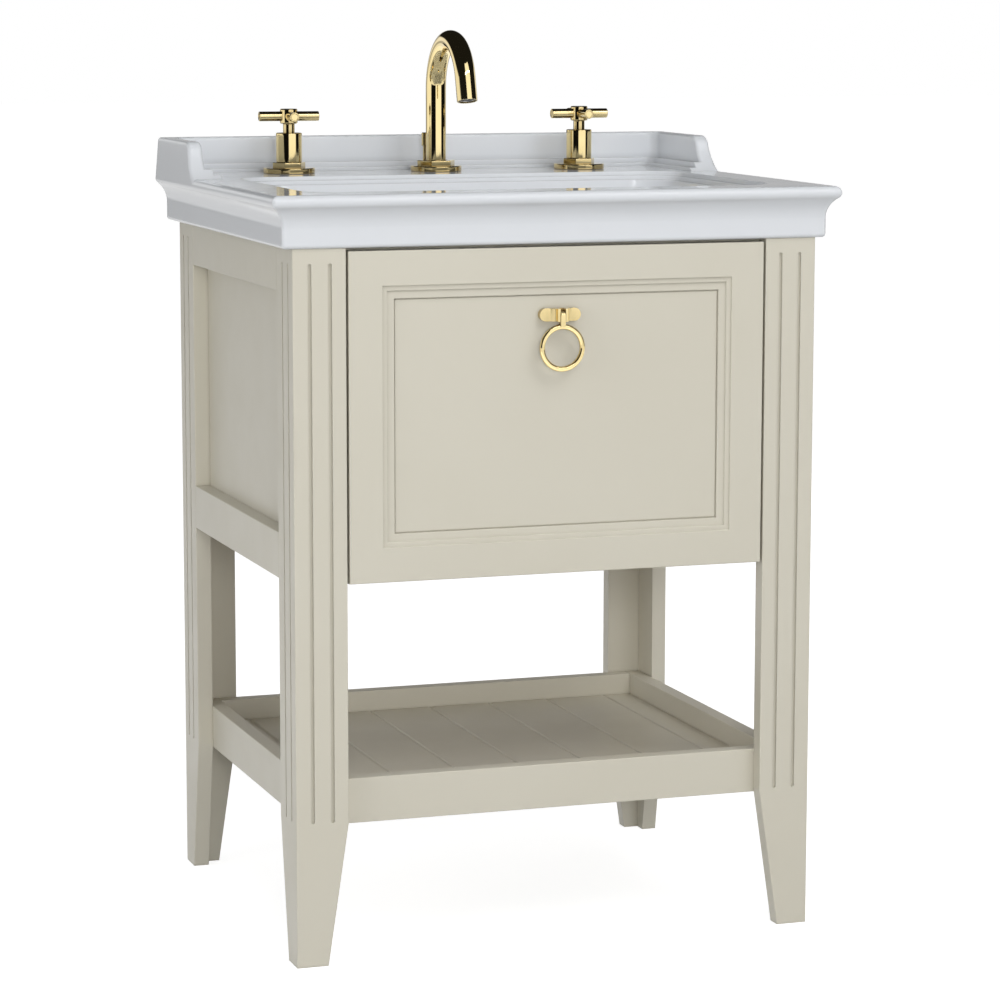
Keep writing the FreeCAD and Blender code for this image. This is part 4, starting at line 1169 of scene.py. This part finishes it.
@dataclass
class Studio:
    """Pale floor, soft lamps, a reflection tent with bands of cloth, and the camera."""

    camera_at: tuple = (-1.2526, -3.7204, 1.0411)
    looking: tuple = (0.3195, 0.9364, -0.1452)
    roll: float = radians(0.07)
    lens: float = 122.99
    sensor: float = 36.0
    sight: float = 100.0
    lamps: tuple = (Lamp("key", (1.0, -2.3, 3.3), (0.0, 0.0, 0.6), size=2.2, level=0.38),
                    Lamp("front", (-0.8, -3.9, 1.15), (0.0, 0.1, 0.7), size=0.8, level=0.25),
                    Lamp("fill", (-3.2, -1.4, 1.2), (0.0, 0.0, 0.55), size=1.8, level=0.22),
                    Lamp("back", (2.2, 3.0, 1.4), (0.0, 0.0, 0.5), size=1.8, level=0.08))
    floor_side: float = 60.0
    floor_level: float = 0.5
    floor_glow: float = 0.81
    sky_levels: tuple = (0.43, 0.40)
    strip_at: tuple = (0.5, -2.1, 2.5)
    strip_target: tuple = (0.0, 0.1, 0.85)
    strip_size: tuple = (2.4, 0.14)
    strip_level: float = 7.0
    tent_centre: tuple = (0.0, 0.15, 0.0)
    tent_radius: float = 2.8
    tent_span: tuple = (-0.02, 4.4)
    tent_sides: int = 96
    eye_height: float = 0.9
    eye_soft: float = 0.02
    foot_slope: float = -0.146
    foot_soft: float = 0.004
    foot_level: float = 0.9
    reach_slope: float = 2.0
    reach_soft: float = 0.03
    roof_level: float = 0.01
    low_cloth: tuple = ((-180, -152, 0.01), (-147, -124, 0.45), (-120, -58, 1.0), (-54, -4, 0.005),
                        (0, 62, 1.1), (66, 124, 0.005), (130, 160, 0.6), (164, 180, 0.01))
    high_cloth: tuple = ((-180, -156, 0.42), (-150, -58, 0.9), (-54, -4, 0.01), (0, 62, 1.1),
                         (66, 124, 0.01), (130, 150, 0.9), (156, 180, 0.42))
    reach_cloth: tuple = ((-180, 4, 0.11), (6, 56, 0.62), (58, 180, 0.11))

    def world(self) -> None:
        """White sky to look at, softer sky to be lit by."""
        world = bpy.data.worlds.new("studio_air")
        world.use_nodes = True
        graph = Graph(world.node_tree)
        way = graph.add("ShaderNodeSeparateXYZ", {0: graph.add("ShaderNodeTexCoord").outputs["Generated"]})
        light = graph.remap(way.outputs[2], *self.sky_levels)
        strength = graph.math("MAXIMUM", light, graph.looked_at())
        sky = graph.add("ShaderNodeBackground", {"Color": WHITE, "Strength": strength})
        graph.add("ShaderNodeOutputWorld", {"Surface": sky.outputs[0]})
        bpy.context.scene.world = world

    @staticmethod
    def sheet(wide: float, high: float) -> tuple:
        """Give the points and the face of a flat rectangle."""
        x, y = wide / 2, high / 2
        return [(-x, -y, 0), (x, -y, 0), (x, y, 0), (-x, y, 0)], [(0, 1, 2, 3)]

    @staticmethod
    def stage(name: str, form: tuple, cover: Material, place: Sequence[float] = (0.0, 0.0, 0.0),
              turn: Quaternion = Quaternion(), mirrored: bool = False) -> None:
        """Stand a surface in the studio, apart from the washstand.

        Args:
            name: Its name.
            form: Its points and its faces.
            cover: Its material.
            place: Where it stands.
            turn: How it is turned.
            mirrored: Whether it is seen only in reflections.
        """
        mesh = bpy.data.meshes.new(name)
        mesh.from_pydata(form[0], [], form[1])
        mesh.materials.append(cover)
        made = bpy.data.objects.new(name, mesh)
        put_up(made, place, turn)
        if mirrored:
            for kind in ("camera", "diffuse", "transmission", "volume_scatter", "shadow"):
                setattr(made, f"visible_{kind}", False)

    def floor(self) -> None:
        """Pale floor that keeps the object's shadow, and glows like the sky to rays that look at it."""
        made, graph = bare("pale_floor")
        matt = graph.add("ShaderNodeBsdfDiffuse", {"Color": grey(self.floor_level)})
        glow = graph.glow(WHITE, graph.math("MULTIPLY", graph.looked_at(), self.floor_glow))
        graph.surface(graph.add("ShaderNodeAddShader", {0: matt.outputs[0], 1: glow}).outputs[0])
        self.stage("floor", self.sheet(self.floor_side, self.floor_side), made)

    @staticmethod
    def cloth(graph: Graph, turn: NodeSocket, bands: Sequence[Corner]) -> NodeSocket:
        """Add a ramp of grey levels round the tent.

        Args:
            graph: The tent's graph.
            turn: The turn round the tent, from 0 to 1.
            bands: Start and end of each band, in degrees to the camera's right, and its level.

        Returns:
            The level's colour.
        """
        ramp = graph.add("ShaderNodeValToRGB", {0: turn})
        elements = ramp.color_ramp.elements
        stops = [(degrees, level) for start, end, level in bands for degrees in (start, end)]
        for number, (degrees, level) in enumerate(stops):
            spot = degrees / 360 + 0.5
            element = elements[number] if number < 2 else elements.new(spot)
            element.position = spot
            element.color = grey(level)
        return ramp.outputs[0]

    def cloths(self) -> Material:
        """Make the cloths, whose glow follows the turn round the tent and the slope up to it.

        Returns:
            Their material.
        """
        made, graph = bare("tent_cloth")
        place = graph.add("ShaderNodeSeparateXYZ", {0: graph.add("ShaderNodeTexCoord").outputs["Object"]})
        x, y, z = place.outputs
        angle = graph.math("ARCTAN2", x, graph.math("MULTIPLY", y, -1.0))
        turn = graph.math("MULTIPLY_ADD", angle, 0.5 / pi, 0.5)
        away = graph.math("SQRT", graph.math("ADD", graph.math("POWER", x, 2.0), graph.math("POWER", y, 2.0)))
        slope = graph.math("DIVIDE", graph.math("SUBTRACT", z, self.eye_height), away)
        low, high, reach = (self.cloth(graph, turn, bands)
                            for bands in (self.low_cloth, self.high_cloth, self.reach_cloth))
        rise = graph.math("SUBTRACT", slope, self.foot_slope)
        foot = graph.remap(rise, 0.0, 1.0, -self.foot_soft, self.foot_soft)
        low = graph.mix(foot, grey(self.foot_level), low)
        room = graph.math("SUBTRACT", graph.math("MULTIPLY", reach, self.reach_slope), slope)
        under = graph.remap(room, 0.0, 1.0, -self.reach_soft, self.reach_soft)
        high = graph.mix(under, grey(self.roof_level), high)
        above = graph.remap(slope, 0.0, 1.0, -self.eye_soft, self.eye_soft)
        graph.surface(graph.glow(graph.mix(above, low, high), 1.0))
        return made

    def tent(self) -> None:
        """Bright and black cloths round the object, seen only in reflections."""
        count = self.tent_sides
        verts = [(self.tent_radius * sin(turn), -self.tent_radius * cos(turn), z)
                 for z in self.tent_span for turn in turns(count)]
        faces = [(index, (index + 1) % count, count + (index + 1) % count, count + index)
                 for index in range(count)]
        faces.append(tuple(range(count, 2 * count)))
        toward = Vector(self.camera_at) - Vector(self.tent_centre)
        turn = Quaternion(UP, atan2(toward.x, -toward.y))
        self.stage("tent", (verts, faces), self.cloths(), self.tent_centre, turn, mirrored=True)

    def strip(self) -> None:
        """A long thin light seen only in reflections, which draws a line along each glossy edge."""
        made, graph = bare("strip_light")
        graph.surface(graph.glow(WHITE, self.strip_level))
        turn = facing(Vector(self.strip_target) - Vector(self.strip_at))
        self.stage("strip", self.sheet(*self.strip_size), made, self.strip_at, turn, mirrored=True)

    def camera(self) -> None:
        """Stand the camera where the photograph was taken."""
        lens = bpy.data.cameras.new("camera")
        lens.lens = self.lens
        lens.sensor_width = self.sensor
        lens.clip_end = self.sight
        camera = bpy.data.objects.new("camera", lens)
        put_up(camera, self.camera_at, facing(Vector(self.looking)) @ Quaternion(UP, self.roll))
        bpy.context.scene.camera = camera

    def build(self) -> None:
        """Set the whole studio up."""
        bpy.context.scene.view_settings.view_transform = "Standard"
        self.world()
        self.floor()
        for lamp in self.lamps:
            lamp.hang()
        self.tent()
        self.strip()
        self.camera()


def main() -> None:
    """Dress the washstand and set the studio up."""
    logging.basicConfig(level=logging.INFO, format="%(name)s %(message)s")
    for assembly in (Stand(), Drawer(), RingPull(), Basin(), Mixer()):
        assembly.dress()
        LOG.info("finished %s", type(assembly).__name__)
    Studio().build()


if __name__ == "__main__":
    main()
